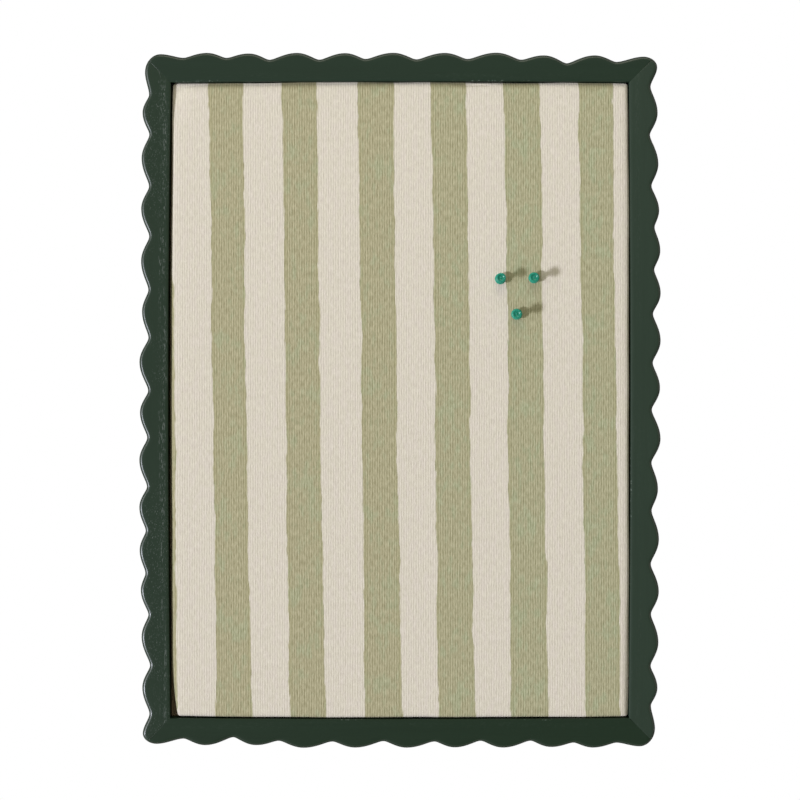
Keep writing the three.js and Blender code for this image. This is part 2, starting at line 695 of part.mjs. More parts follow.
function addTurnButtons() {
  let number = 0;
  for (const side of [-1, 1]) {
    for (const share of BUTTON_PLACE_SHARES) {
      number += 1;
      const group = new THREE.Group();
      group.position.set(side * BUTTON_X, FRAME_BACK + BUTTON_GAP, (share * SIGHT_HEIGHT) / 2);
      group.rotation.y = side > 0 ? Math.PI : 0;
      board.add(group);
      add(`turn_button_${number}`, turnButton(), MATERIALS.steel, group);
      const body = screw(
        BUTTON_HEAD_RADIUS, BUTTON_HEAD_HEIGHT, BUTTON_SHANK_RADIUS, BUTTON_SHANK_LENGTH,
      );
      const fixing = add(`turn_button_screw_${number}`, body, MATERIALS.steel, group);
      fixing.position.y = BUTTON_THICKNESS + BUTTON_GAP;
    }
  }
}

function addHangers() {
  const eye = RING_WIRE_RADIUS + EYE_GAP + STRAP_THICKNESS;
  for (const [word, side] of [['left', -1], ['right', 1]]) {
    const group = new THREE.Group();
    group.position.set(side * STRIP_MIDDLE_X, FRAME_BACK + eye, HANGER_Z);
    board.add(group);
    add(`hanger_plate_${word}`, geometryOf(hangerPlate()), MATERIALS.steel, group);
    const ring = wireRing(ringLine(), RING_WIRE_RADIUS, RING_SIDES);
    add(`hanger_ring_${word}`, ring, MATERIALS.steel, group);
    const body = screw(
      HANGER_HEAD_RADIUS, HANGER_HEAD_HEIGHT, HANGER_SHANK_RADIUS, HANGER_SHANK_LENGTH,
    );
    const fixing = add(`hanger_screw_${word}`, body, MATERIALS.steel, group);
    fixing.position.set(0, STRAP_THICKNESS - eye, -STRAP_SCREW_DISTANCE);
    const pad = add(`bumper_${word}`, bumper(), MATERIALS.rubber);
    pad.position.set(side * STRIP_MIDDLE_X, FRAME_BACK, BUMPER_Z);
  }
}

function addPins() {
  PINS.forEach((pin, i) => {
    const group = pinPlace(pin);
    board.add(group);
    const parts = [['head', pinHead(), MATERIALS.plastic], ['needle', pinNeedle(), MATERIALS.steel]];
    for (const [word, geometry, material] of parts) {
      const mesh = add(`pin_${i + 1}_${word}`, geometry.rotateX(Math.PI), material, group);
      mesh.position.y = -PIN_STANDOFF;
    }
  });
}

addFrame();
addPanel();
addTurnButtons();
addHangers();
addPins();

export default board;
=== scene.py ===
"""Looks of the pin board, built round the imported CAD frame.

Lengths in this file are millimetres until a mesh is made, and then metres.
X is the width, Z is up, the front faces -Y, and the wall's face is y = 0.
"""

import json
from math import copysign, cos, exp, hypot, pi, radians, sin, sqrt

import bmesh
import bpy
import numpy as np
from mathutils import Matrix, Vector
from mathutils.geometry import tessellate_polygon

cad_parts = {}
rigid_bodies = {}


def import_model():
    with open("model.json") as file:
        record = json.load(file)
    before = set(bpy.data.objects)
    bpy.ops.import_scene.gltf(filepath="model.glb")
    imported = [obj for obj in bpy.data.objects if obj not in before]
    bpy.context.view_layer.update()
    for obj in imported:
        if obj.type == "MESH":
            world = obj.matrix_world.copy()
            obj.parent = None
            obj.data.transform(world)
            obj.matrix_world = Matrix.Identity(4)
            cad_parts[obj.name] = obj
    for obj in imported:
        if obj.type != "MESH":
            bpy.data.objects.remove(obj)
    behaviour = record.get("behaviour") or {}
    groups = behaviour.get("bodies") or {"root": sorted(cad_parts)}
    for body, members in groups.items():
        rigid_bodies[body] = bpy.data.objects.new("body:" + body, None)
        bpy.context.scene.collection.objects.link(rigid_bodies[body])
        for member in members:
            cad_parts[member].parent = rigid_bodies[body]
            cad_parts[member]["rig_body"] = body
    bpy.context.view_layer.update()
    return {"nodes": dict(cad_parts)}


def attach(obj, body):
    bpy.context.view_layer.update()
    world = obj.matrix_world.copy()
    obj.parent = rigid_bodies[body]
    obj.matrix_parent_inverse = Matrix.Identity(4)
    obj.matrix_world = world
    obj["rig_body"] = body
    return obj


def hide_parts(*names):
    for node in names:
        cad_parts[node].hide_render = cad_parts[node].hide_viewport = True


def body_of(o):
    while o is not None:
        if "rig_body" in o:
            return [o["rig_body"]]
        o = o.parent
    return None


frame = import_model()

MM = 0.001

# The frame has the part's sizes, with a rounder outer edge and small bevels
SIGHT_WIDTH = 397
SIGHT_HEIGHT = 549
BOARD_WIDTH = 450
BOARD_HEIGHT = 600
SCALLOP_DEPTH = 9.2
REBATE_WIDTH = 6
EDGE_ROUND = 3.3
FRAME_BACK = -5
FRAME_FRONT = -23
BACKING_FRONT = -8
ARRIS = 0.35
ROUND_STEPS = 8
FACE_COLUMNS = 8

# How much of a small bevel's size is left at its middle point
BEVEL_MIDDLE = 0.3

# Points nearer than this to a mitre line are left out, and each mitred end has its front edge
# eased in steps: how far the step is from the mitre line, and how far its front is sunk
MITRE_CLEAR = 1.1
MITRE_EASE = [(0.03, 0.20), (0.08, 0.09), (0.18, 0.03), (0.36, 0)]

# The scalloped edge, as in the part
RAIL_NOTCH_PLACES = [-0.831, -0.666, -0.501, -0.309, -0.132, 0.063, 0.259, 0.464, 0.639, 0.831]
RAIL_NOTCH_DROPS = [0.48, 0.48, 0.66, 0.65, 0.58, 0.62, 0.58, 0.65, 0.99, 0.86]
RAIL_CREST_DROPS = [0.02, 0.08, 0.02, 0.04, 0.01, 0.02, 0, 0.26, 0.25]
STILE_NOTCH_PLACES = [
    -0.902, -0.763, -0.616, -0.497, -0.376, -0.249, -0.108,
    0.027, 0.18, 0.317, 0.471, 0.615, 0.764, 0.879,
]
STILE_NOTCH_DROPS = [0.94, 1, 0.85, 0.56, 0.59, 0.71, 0.73, 0.82, 0.85, 0.84, 0.92, 0.9, 0.93, 0.91]
STILE_CREST_DROPS = [0.28, 0.21, 0.14, 0.03, 0, 0, 0.06, 0.01, 0.25, 0.16, 0.17, 0.21, 0.3]
CREST_PLACE = 0.55
NOTCH_ROUND = 0.26
CORNER_BEFORE_RAIL = {"rail": (0.918, 0.14), "stile": (0.943, 0.53)}
CORNER_AFTER_RAIL = {"rail": (0.933, 0.37), "stile": (0.958, 0.32)}
NOTCH_HANDLE = 0.25
CORNER_HANDLE = 0.35

# The covered panel
PANEL_LEFT = -196.7
PANEL_RIGHT = 197.2
PANEL_TOP = 273.8
PANEL_BOTTOM = -273.2
PANEL_RADII = {"bl": 3.0, "br": 2.4, "tr": 2.4, "tl": 2.6}
PANEL_ROUND = 3
DRAW_IN = 4.3
DRAW_IN_REACH = 50
DRAW_IN_HEIGHT = 0.1
CORNER_DRAWS = {"bl": 1, "br": 0.1, "tr": 0.1, "tl": 0.1}
FABRIC = 0.8
COVER_FRONT = -20.9
WADDING_FRONT = -19.8
CORE_FRONT = -17.8
WINDOW = (173.5, 249.5)
SMALLEST_RADIUS = 0.3
CORNER_STEPS = 12
SIDE_STEPS = (640, 900)
WAVER_FADE = 8
CROWDING = 0.55
COVER_GRID = (150, 206)
WADDING_GRID = (70, 96)
TURN_UNDER = 0.8
SOFT_FADE = 3.5
GLUE_GAP = 0.03
BACKING_GAP = 0.5

# How far each side of the opening and of the panel bends outwards at its middle, and how far
# the opening's sides stand in at their low and high ends
SIGHT_BOWS = {"left": 1.5, "right": 0.6, "top": 0.6, "bottom": 0.5}
SIGHT_ENDS = {"left": (0.3, 0.9), "right": (1.0, 0.85), "top": (0.45, 0), "bottom": (0.4, 0.6)}
PANEL_BOWS = {"left": 1.0, "right": 0.7, "top": 0.9, "bottom": 0.8}

# Hardware on the back
STRIP_X = 210.15
BUTTON_X = 209.5
BUTTON_Z = 219.6
HANGER_Z = 172
EYE_Y = -2.7
STRAP_SCREW = 24
BUMPER_Z = -265
BUMPER_PROFILE = [
    (0, 0), (4.75, 0), (4.75, 2), (4.55, 4.1), (3.6, 5), (0.9, 5), (0.7, 4.5), (0, 4.5),
]

# Push pins: x, z, and the lean to the right and up in degrees
PINS = [(86.35, 104.31, 0, 1.5), (115.53, 105.41, -3, -1), (100.64, 74.115, -2.5, -1)]
PIN_STANDOFF = 4.5
PIN_WAIST = 2.2
NEEDLE_PROFILE = [(0, -10.5), (0.2, -9.6), (0.55, -8.0), (0.55, 6), (0, 6)]

# Points closer together than this, in metres, are one point
SAME_POINT = 1e-7


def mix(a, b, t):
    return a + (b - a) * t


# Meshes


def linked(name, data):
    """A new object with this data, in the scene."""
    obj = bpy.data.objects.new(name, data)
    bpy.context.scene.collection.objects.link(obj)
    return obj


def mesh_of(name, points, faces, **attributes):
    """A mesh in metres. Each attribute holds a number or a vector for every point."""
    mesh = bpy.data.meshes.new(name)
    mesh.from_pydata((np.asarray(points, float) * MM).tolist(), [], faces)
    for key, values in attributes.items():
        values = np.asarray(values, np.float32)
        kind, field = ("FLOAT_VECTOR", "vector") if values.ndim == 2 else ("FLOAT", "value")
        made = mesh.attributes.new(key, kind, "POINT")
        made.data.foreach_set(field, values.ravel())
    return mesh


def cleaned(mesh):
    """The mesh with points that coincide joined, and its faces turned outwards."""
    bm = bmesh.new()
    bm.from_mesh(mesh)
    bmesh.ops.remove_doubles(bm, verts=bm.verts, dist=SAME_POINT)
    bmesh.ops.recalc_face_normals(bm, faces=bm.faces)
    bm.to_mesh(mesh)
    bm.free()
    return mesh


def finish_mesh(name, mesh, look, body, sharp, node):
    """The piece made of a mesh, smooth up to sharp degrees, in place of a CAD node."""
    material, slot = look
    cleaned(mesh)
    mesh.polygons.foreach_set("use_smooth", [True] * len(mesh.polygons))
    mesh.set_sharp_from_angle(angle=radians(sharp))
    mesh.materials.append(material)
    obj = linked(name, mesh)
    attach(obj, body)
    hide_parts(node)
    return obj


def dress(node, word, part, seat, look, body, sharp, **attributes):
    """The piece node_word in place of a CAD node: a part, moved to its seat."""
    name = f"{node}_{word}"
    mesh = mesh_of(name, *placed(part, seat), **attributes)
    return finish_mesh(name, mesh, look, body, sharp, node)


def repaint(node, material):
    """A CAD node that stays gets a better material."""
    slots = frame["nodes"][node].data.materials
    slots.clear()
    slots.append(material)


def joined(parts):
    """Several (points, faces) as one."""
    points, faces = [], []
    for more_points, more_faces in parts:
        start = len(points)
        points.extend([tuple(p) for p in more_points])
        faces.extend([tuple(i + start for i in f) for f in more_faces])
    return points, faces


def placed(part, matrix):
    points, faces = part
    moved = [tuple(matrix @ Vector(p)) for p in points]
    return moved, faces


def between(a, b):
    """The faces that join two rings of point numbers, either of which may be one point."""
    faces = []
    for k in range(max(len(a), len(b))):
        n = k + 1
        corners = (a[k % len(a)], a[n % len(a)], b[n % len(b)], b[k % len(b)])
        kept = tuple(dict.fromkeys(corners))
        if len(kept) > 2:
            faces.append(kept)
    return faces


def sleeve(count, rings, start=0, closed=False):
    """The faces that join each ring of count points to the next, the last to the first if closed."""
    faces = []
    for i in range(rings if closed else rings - 1):
        a, b = start + i * count, start + (i + 1) % rings * count
        faces += between(range(a, a + count), range(b, b + count))
    return faces


def grid_faces(index):
    """The quads of a grid of point numbers, given row by row."""
    corners = [index[:-1, :-1], index[:-1, 1:], index[1:, 1:], index[1:, :-1]]
    return np.stack(corners, axis=-1).reshape(-1, 4).tolist()


def around(count):
    """The angles of count equal steps round a circle."""
    return [2 * pi * k / count for k in range(count)]


def lathe(profile, sides):
    """A body turned about Y, from (radius, y) pairs; it is closed where the radius is 0."""
    points, faces, rings = [], [], []
    for radius, y in profile:
        if radius == 0:
            rings.append([len(points)])
            points.append((0, y, 0))
            continue
        rings.append(range(len(points), len(points) + sides))
        points += [(radius * cos(a), y, radius * sin(a)) for a in around(sides)]
    for a, b in zip(rings, rings[1:]):
        faces += between(a, b)
    return points, faces


def rounded(profile, radius, steps=3):
    """The same profile with its corners rounded, apart from its two ends."""
    out = [profile[0]]
    for before, here, after in zip(profile, profile[1:], profile[2:]):
        here = Vector(here)
        to_a, to_b = Vector(before) - here, Vector(after) - here
        cut = min(radius, to_a.length * 0.45, to_b.length * 0.45)
        a, b = here + to_a.normalized() * cut, here + to_b.normalized() * cut
        for k in range(steps + 1):
            t = k / steps
            p = a * (1 - t) ** 2 + here * (2 * t * (1 - t)) + b * t**2
            out.append((p.x, p.y))
    out.append(profile[-1])
    return out


def unit(vectors):
    return vectors / np.linalg.norm(vectors, axis=1)[:, None]


def left_of(vectors):
    """2-D vectors turned a quarter to their left."""
    return np.stack([-vectors[:, 1], vectors[:, 0]], axis=1)


def inset_loop(loop, distance):
    """A closed 2-D loop moved to its left by distance."""
    loop = np.asarray(loop, float)
    ahead = unit(np.roll(loop, -1, axis=0) - loop)
    behind = unit(loop - np.roll(loop, 1, axis=0))
    left = unit(left_of(ahead + behind))
    reach = np.clip((left * left_of(ahead)).sum(1), 0.5, 1)
    return loop + left * (distance / reach)[:, None]


def plate(outer, holes, back, front, bevel):
    """A flat plate in x and z with small rounded edges. outer runs anticlockwise, holes clockwise."""
    middle = bevel * BEVEL_MIDDLE
    levels = [
        (bevel, back), (middle, back - middle), (0, back - bevel),
        (0, front + bevel), (middle, front + middle), (bevel, front),
    ]
    points, faces, caps = [], [], {0: [], len(levels) - 1: []}
    for loop in [outer, *holes]:
        start, count = len(points), len(loop)
        for level, (inset, y) in enumerate(levels):
            ring = inset_loop(loop, inset)
            if level in caps:
                caps[level].append((len(points), ring))
            points.extend([(x, y, z) for x, z in ring])
        faces += sleeve(count, len(levels), start)
    for rings in caps.values():
        index = [first + k for first, ring in rings for k in range(len(ring))]
        flat = [[Vector((x, z, 0)) for x, z in ring] for _, ring in rings]
        faces.extend(tuple(index[i] for i in t) for t in tessellate_polygon(flat))
    return points, faces


def hole(radius, sides, z=0.0):
    """A round hole's outline, clockwise."""
    return [(radius * cos(a), z - radius * sin(a)) for a in around(sides)]


def arc(x, z, radius, start, end, count):
    """Points on an arc about (x, z), from one angle to another."""
    return [(x + radius * cos(a), z + radius * sin(a)) for a in np.linspace(start, end, count)]


def slotted(x0, x1, radius, count):
    """A long plate's outline between two half rounds, anticlockwise."""
    quarter = pi / 2
    left = arc(x0, 0, radius, quarter, 3 * quarter, count)
    return left + arc(x1, 0, radius, -quarter, quarter, count)


def cut_from(part, cutter):
    """part less cutter, by Blender's exact boolean."""
    pieces = {"part": part, "cutter": cutter}
    made = [linked(word, cleaned(mesh_of(word, *pieces[word]))) for word in pieces]
    modifier = made[0].modifiers.new("cut", "BOOLEAN")
    modifier.operation = "DIFFERENCE"
    modifier.solver = "EXACT"
    modifier.object = made[1]
    bpy.context.view_layer.update()
    graph = bpy.context.evaluated_depsgraph_get()
    result = bpy.data.meshes.new_from_object(made[0].evaluated_get(graph))
    points = [tuple(v.co / MM) for v in result.vertices]
    faces = [tuple(p.vertices) for p in result.polygons]
    for obj in made:
        bpy.data.objects.remove(obj)
    bpy.data.meshes.remove(result)
    return points, faces


# Materials


class Value:
    """A node's output, which adds, subtracts and multiplies as a number does."""

    def __init__(self, nodes, socket):
        self.nodes = nodes
        self.socket = socket

    def __add__(self, other):
        return self.nodes.math("ADD", self, other)

    def __sub__(self, other):
        return self.nodes.math("SUBTRACT", self, other)

    def __rsub__(self, other):
        return self.nodes.math("SUBTRACT", other, self)

    def __mul__(self, other):
        return self.nodes.math("MULTIPLY", self, other)

    def __abs__(self):
        return self.nodes.math("ABSOLUTE", self)


class Nodes:
    """The node tree of a material or world, with short ways to add to it."""

    def __init__(self, owner):
        owner.use_nodes = True
        self.tree = owner.node_tree

    def node(self, kind, *values, out=0, **settings):
        """The output of a new node whose inputs are values; one that is None is left as it is."""
        made = self.tree.nodes.new("ShaderNode" + kind)
        for key, value in settings.items():
            setattr(made, key, value)
        for socket, value in zip(made.inputs, values):
            if isinstance(value, Value):
                self.tree.links.new(value.socket, socket)
            elif value is not None:
                socket.default_value = value
        return Value(self, made.outputs[out])

    def math(self, operation, a, b=0.0, c=0.0):
        return self.node("Math", a, b, c, operation=operation)

    def axes(self, vector):
        split = self.node("SeparateXYZ", vector).socket.node
        return [Value(self, output) for output in split.outputs]


class Shade(Nodes):
    """One procedural material."""

    def __init__(self, name, **sockets):
        self.material = bpy.data.materials.new(name)
        super().__init__(self.material)
        self.shader = self.tree.nodes["Principled BSDF"]
        for key, value in sockets.items():
            self.shader.inputs[key.replace("_", " ")].default_value = value

    def place(self):
        return self.node("TexCoord", out=3)

    def facing(self):
        return self.node("TexCoord", out=1)

    def attribute(self, name, out=1):
        return self.node("Attribute", attribute_name=name, out=out)

    def stretched(self, vector, x, y, z):
        return self.node("VectorMath", vector, (x, y, z), operation="MULTIPLY")

    def noise(self, vector, scale, detail=2.0, roughness=0.5, distortion=0.0):
        return self.node("TexNoise", vector, None, scale, detail, roughness, None, None, None, distortion)

    def band(self, value, low, high, to_low=0.0, to_high=1.0):
        """value from low to high as a smooth step from to_low to to_high."""
        return self.node("MapRange", value, low, high, to_low, to_high, interpolation_type="SMOOTHSTEP")

    def mix(self, factor, a, b, blend="MIX"):
        """Two colours mixed, each a Value or (red, green, blue)."""
        a, b = [c if isinstance(c, Value) else (*c, 1) for c in (a, b)]
        unused = [None] * 5
        return self.node("Mix", factor, *unused, a, b, out=2, data_type="RGBA", blend_type=blend)

    def bump(self, height, distance, strength=1.0):
        made = self.tree.nodes.new("ShaderNodeBump")
        made.inputs["Strength"].default_value = strength
        made.inputs["Distance"].default_value = distance
        self.tree.links.new(height.socket, made.inputs["Height"])
        self.tree.links.new(made.outputs[0], self.shader.inputs["Normal"])

    def put(self, socket, value):
        self.tree.links.new(value.socket, self.shader.inputs[socket])


# The coarser grain beside the opening: its middle from the board's centre line, for grain
# along x and along z, and half its width where it is full and where it has faded out
COARSE_MIDDLE = {"x": 279.5, "z": 204.5}
COARSE_FULL = 1.2
COARSE_FADED = 4.2
# Light specks in the open grain: partly real unfilled grain, partly painted glint
PORE_GLINT_COLOUR = (0.105, 0.125, 0.110)
WORN_COLOUR = (0.24, 0.29, 0.25)
BRUSH_RELIEF = 0.05


def painted_wood(name, along, base, pore_glint_amount, seed):
    """Dark satin paint brushed over wood, with the grain along x or z."""
    s = Shade(name, Specular_IOR_Level=0.26, Coat_IOR=1.8, Coat_Roughness=0.34)
    upright = along == "z"
    place = s.place()
    shifted = s.node("VectorMath", place, (seed, seed * 0.7, -seed), operation="ADD")

    def drawn(share, scale, detail, roughness):
        """Noise that is drawn out along the grain."""
        vector = s.stretched(shifted, 1 if upright else share, 1, share if upright else 1)
        return s.noise(vector, scale, detail, roughness)

    brush = drawn(0.03, 900, 3, 0.6)
    wide = drawn(0.05, 150, 2, 0.5)
    patches = s.noise(shifted, 16, 2, 0.5)
    level = brush * 0.6 + wide * 0.4
    colour = s.mix(level, [c * 0.84 for c in base], [c * 1.16 for c in base])
    x, _, z = s.axes(place)
    from_middle = abs(x if upright else z)
    # light specks: open grain that the paint has not filled, in a band of coarser grain beside the
    # opening, and scattered specks; their light colour is partly painted glint of the light from the left
    beside = from_middle - COARSE_MIDDLE[along] * MM + (patches - 0.5) * 0.006
    coarse = s.band(abs(beside), COARSE_FULL * MM, COARSE_FADED * MM, 1.0, 0.0)
    pit_glints = s.band(drawn(0.20, 1500, 2, 0.6), 0.54, 0.64)
    stray_glints = s.band(drawn(0.30, 2100, 1, 0.5), 0.65, 0.71) * s.band(patches, 0.42, 0.62)
    pores_and_glints = s.math("MAXIMUM", pit_glints * coarse * s.band(wide, 0.38, 0.60), stray_glints * 0.8) * pore_glint_amount
    colour = s.mix(pores_and_glints, colour, PORE_GLINT_COLOUR)
    # paint rubbed thin in specks along the inner edge
    to_edge = abs(from_middle - (SIGHT_WIDTH if upright else SIGHT_HEIGHT) / 2 * MM)
    edge = s.band(to_edge, 0.0006, 0.0018, 1.0, 0.0)
    specks = s.band(s.noise(shifted, 520, 1, 0.4), 0.64, 0.71)
    worn = s.band(s.noise(shifted, 11, 1, 0.5), 0.56, 0.66) * (1.0 if upright else 0.4)
    s.put("Base Color", s.mix(edge * specks * worn * 0.9, colour, WORN_COLOUR))
    # the paint is thicker and glossier on the rounded front of the outer edge
    _, back, lift = s.axes(s.facing())
    front = back * -1.0
    rolled = s.band(front, 0.45, 0.80) * s.band(front, 0.90, 0.985, 1.0, 0.0)
    beyond = [abs(c) - size / 2 * MM for c, size in ((x, SIGHT_WIDTH), (z, SIGHT_HEIGHT))]
    rolled = rolled * s.band(s.math("MAXIMUM", *beyond), 0.004, 0.008)
    s.put("Coat Weight", rolled * s.band(lift, -0.13, 0.0, 0.4, 1.0))
    s.put("Roughness", level * 0.06 + 0.47 + pores_and_glints * 0.2)
    s.bump((brush * 0.22 - pores_and_glints * 0.8) * (1.0 - rolled), BRUSH_RELIEF * MM, 0.4)
    return s.material


# Each stripe's middle at half height, its width, and how far it leans to the right going down
STRIPES = [
    (-208.9, 29.6, 0.003), (-147.0, 28.6, 0.0125), (-83.8, 29.4, 0.0125), (-17.8, 30.4, 0.0125),
    (45.4, 30.0, 0.0125), (108.5, 30.5, 0.0125), (171.8, 28.8, 0.0125), (235.3, 30.0, 0.0125),
]
RIB_PITCH = 2.1
THREAD = 0.7
CLOTH_RELIEF = 0.18

# Yarn colours, each a pair: between the threads, darkened with painted shade, and on top of them,
# lightened with painted light, as from light raking across the ribs
CREAM = ((0.556, 0.507, 0.413), (0.743, 0.691, 0.584))
PINK_CREAM = ((0.562, 0.504, 0.424), (0.746, 0.686, 0.598))
OLIVE = ((0.250, 0.227, 0.122), (0.525, 0.485, 0.318))
LEAF = ((0.235, 0.262, 0.142), (0.480, 0.512, 0.338))
STRIPE_RIM = (0.33, 0.31, 0.16)
# Painted shade on the green stripes along the cloth's top edge
STRIPE_TOP_SHADE = (0.20, 0.175, 0.085)


def striped_fabric():
    """Cream ribbed cotton with leaning, hand-blocked green stripes."""
    s = Shade(
        "fabric_striped", Roughness=0.92, Specular_IOR_Level=0.25, Sheen_Weight=0.1, Sheen_Roughness=0.5,
    )
    flat = s.attribute("flat")
    u, v, _ = s.axes(flat)

    def drawn(share, scale, detail, roughness):
        """Noise that is drawn out along the threads."""
        return s.noise(s.stretched(flat, 1, share, 1), scale, detail, roughness)

    # threads: upright ribs that wander and break up along their length
    across = u + (drawn(0.30, 75, 2, 0.5) - 0.5) * 0.0010
    phase = across * (2 * pi / (RIB_PITCH * MM))
    dash = s.band(drawn(0.23, 820, 2, 0.6), 0.30, 0.70)
    broken = drawn(0.30, 430, 1, 0.5)
    fine = drawn(0.35, 1800, 2, 0.6)
    rib = s.math("MULTIPLY_ADD", s.math("SINE", phase), s.band(broken, 0.38, 0.58, 0.28, 0.5), 0.5)
    # painted light and shade of the ribs: high on top of the threads, low between them
    rib_light_shade = rib * 0.55 + dash * 0.45
    cloudy = s.noise(flat, 34, 3, 0.6)
    tinge = drawn(0.35, 190, 2, 0.6)
    # the stripes: how deep each thread lies inside its nearest stripe
    column = s.math("SNAP", across, THREAD * MM) + THREAD / 2 * MM
    moved = column + (s.noise(s.stretched(flat, 0.5, 1, 1), 10, 1, 0.4) - 0.5) * 0.0032
    depths = []
    for centre, width, lean in STRIPES:
        away = s.math("MULTIPLY_ADD", v, lean, moved) - centre * MM
        depths.append(width / 2 * MM - abs(away))
    # the stripe along the left edge runs off the cloth at both ends
    inside = depths[0] - s.band(abs(v + 0.085), 0.178, 0.198, 0, 0.004)
    for depth in depths[1:]:
        inside = s.math("MAXIMUM", inside, depth)
    wavy = drawn(0.8, 30, 2, 0.5) - 0.5
    ragged = s.noise(s.node("CombineXYZ", column, v * 0.055, 0.0), 1500, 1, 0.5) - 0.5
    inside = inside + wavy * 0.0046 + ragged * 0.0023
    # the stripes are a little wider towards the top and bottom
    inside = inside + v * s.math("MULTIPLY_ADD", v, 0.010, -0.0011)
    printed = s.band(inside + (rib_light_shade - 0.5) * 0.0005, -0.0003, 0.0003)
    rim = s.band(inside, 0.0002, 0.0012) * s.band(inside, 0.0012, 0.004, 1, 0)
    # colours, each yarn's pair mixed by the painted light and shade of the ribs
    pink = s.band(tinge, 0.42, 0.62)
    cream = s.mix(pink, s.mix(rib_light_shade, *CREAM), s.mix(rib_light_shade, *PINK_CREAM))
    greener = s.band(cloudy + (tinge - 0.5) * 0.9, 0.46, 0.74) + s.band(u, -0.05, 0.12, 0.0, 0.32)
    green = s.mix(greener * 0.55, s.mix(rib_light_shade, *OLIVE), s.mix(rib_light_shade, *LEAF))
    green = s.mix(rim * 0.30, green, STRIPE_RIM)
    # painted shade: the green stripes darker within about 7 mm of the cloth's top edge
    green = s.mix(s.band(v, 0.2670, 0.2730, 0.0, 0.45), green, STRIPE_TOP_SHADE)
    # the print covers a little less in small specks
    full = s.band(fine + cloudy * 0.25, 0.30, 0.52)
    colour = s.mix(printed * s.math("MULTIPLY_ADD", full, 0.12, 0.88), cream, green)
    yarn = s.math("MULTIPLY_ADD", fine, 0.26, 0.87)
    s.put("Base Color", s.mix(1.0, colour, s.node("CombineColor", yarn, yarn, yarn), "MULTIPLY"))
    s.bump(rib * 0.8 + dash * 0.7 + fine * 0.4, CLOTH_RELIEF * MM, 0.6)
    return s.material


SCREEN_PITCH = 1.6


def fibre_board(name, dark, light, scale, relief, screen=0.0):
    """Pressed fibres, with a fine screen pattern where screen is above 0."""
    s = Shade(name, Roughness=0.8, Specular_IOR_Level=0.3)
    place = s.place()
    fibres = s.noise(place, scale, 5, 0.7, 0.6)
    clouds = s.noise(place, 18, 3, 0.5)
    flecks = s.band(s.noise(s.stretched(place, 1, 1, 0.3), scale * 2.2, 2, 0.5), 0.64, 0.72)
    colour = s.mix(clouds * 0.35, s.mix(fibres, dark, light), dark)
    s.put("Base Color", s.mix(flecks * 0.35, colour, [c * 0.5 for c in dark]))
    height = fibres
    if screen:
        x, _, z = s.axes(place)
        waves = [s.math("SINE", c * (2 * pi / (SCREEN_PITCH * MM))) for c in (x, z)]
        height = fibres + waves[0] * waves[1] * screen
    s.bump(height, relief * MM, 0.7)
    return s.material


def steel(name, colour, rough, brushed=0.5):
    """Plated or polished steel with fine scratches and dull patches."""
    s = Shade(name, Metallic=1.0)
    place = s.place()
    scratches = s.noise(s.stretched(place, 1, 1, 0.08), 2600, 2, 0.6)
    clouds = s.noise(place, 260, 3, 0.6)
    s.put("Base Color", s.mix(clouds, [c * 0.72 for c in colour], colour))
    s.put("Roughness", s.math("MULTIPLY_ADD", clouds, 0.22, rough) + scratches * 0.1)
    s.bump(scratches, 0.03 * MM, brushed)
    return s.material


def pin_plastic():
    """Clear-toned teal plastic, paler where it is thin at its rims."""
    s = Shade(
        "pin_teal", Roughness=0.30, IOR=1.5, Coat_Weight=0.1, Transmission_Weight=0.12,
        Subsurface_Weight=0.25, Subsurface_Radius=(0.001, 0.003, 0.002), Subsurface_Scale=0.5,
    )
    level = s.attribute("thin", out=2) + (s.noise(s.place(), 900, 2, 0.5) - 0.5) * 0.12
    s.put("Base Color", s.mix(level, (0.002, 0.225, 0.140), (0.016, 0.330, 0.225)))
    s.bump(s.noise(s.place(), 500, 1, 0.5), 0.04 * MM, 0.3)
    return s.material


def soft_rubber():
    s = Shade("bumper_rubber", Roughness=0.7, Specular_IOR_Level=0.35)
    dust = s.band(s.noise(s.place(), 160, 3, 0.6), 0.4, 0.8)
    s.put("Base Color", s.mix(dust, (0.012, 0.012, 0.013), (0.05, 0.048, 0.045)))
    s.bump(s.noise(s.place(), 2400, 3, 0.6), 0.05 * MM, 0.6)
    return s.material


def fleece():
    s = Shade("wadding_fleece", Roughness=1.0, Specular_IOR_Level=0.1, Sheen_Weight=0.2)
    tufts = s.noise(s.place(), 420, 5, 0.7, 0.8)
    s.put("Base Color", s.mix(tufts, (0.62, 0.60, 0.54), (0.84, 0.82, 0.77)))
    s.bump(tufts, 0.5 * MM, 0.8)
    return s.material


# The materials. Most are paired with the name of a slot in the record, which nothing here reads
PAINTS = {
    # One paint on all four pieces: the base colours differ as painted light and shade, the right stile
    # lighter and the bottom rail darker, for how the light falls on each. The fourth number sets the light
    # specks in the open grain, painted glint included, strongest on the left stile that faces the light
    "rail_top": painted_wood("paint_rail_top", "x", (0.0096, 0.0250, 0.0131), 0.06, 1.3),
    "stile_right": painted_wood("paint_stile_right", "z", (0.0208, 0.0383, 0.0243), 0.12, 2.9),
    "rail_bottom": painted_wood("paint_rail_bottom", "x", (0.0082, 0.0229, 0.0100), 0.06, 4.1),
    "stile_left": painted_wood("paint_stile_left", "z", (0.0121, 0.0276, 0.0142), 1.0, 5.7),
}
STRIPED = striped_fabric()
HARDBOARD = (
    fibre_board("backing_hardboard", (0.22, 0.165, 0.095), (0.40, 0.31, 0.19), 700, 0.1, 0.8), "hardboard",
)
SOFTBOARD = fibre_board("core_softboard", (0.22, 0.15, 0.085), (0.42, 0.31, 0.19), 500, 0.4)
FLEECE = (fleece(), "wadding")
ZINC = (steel("zinc_plated", (0.62, 0.61, 0.57), 0.24), "fastener_steel")
RING_STEEL = (steel("ring_steel", (0.66, 0.65, 0.62), 0.16, 0.3), "fastener_steel")
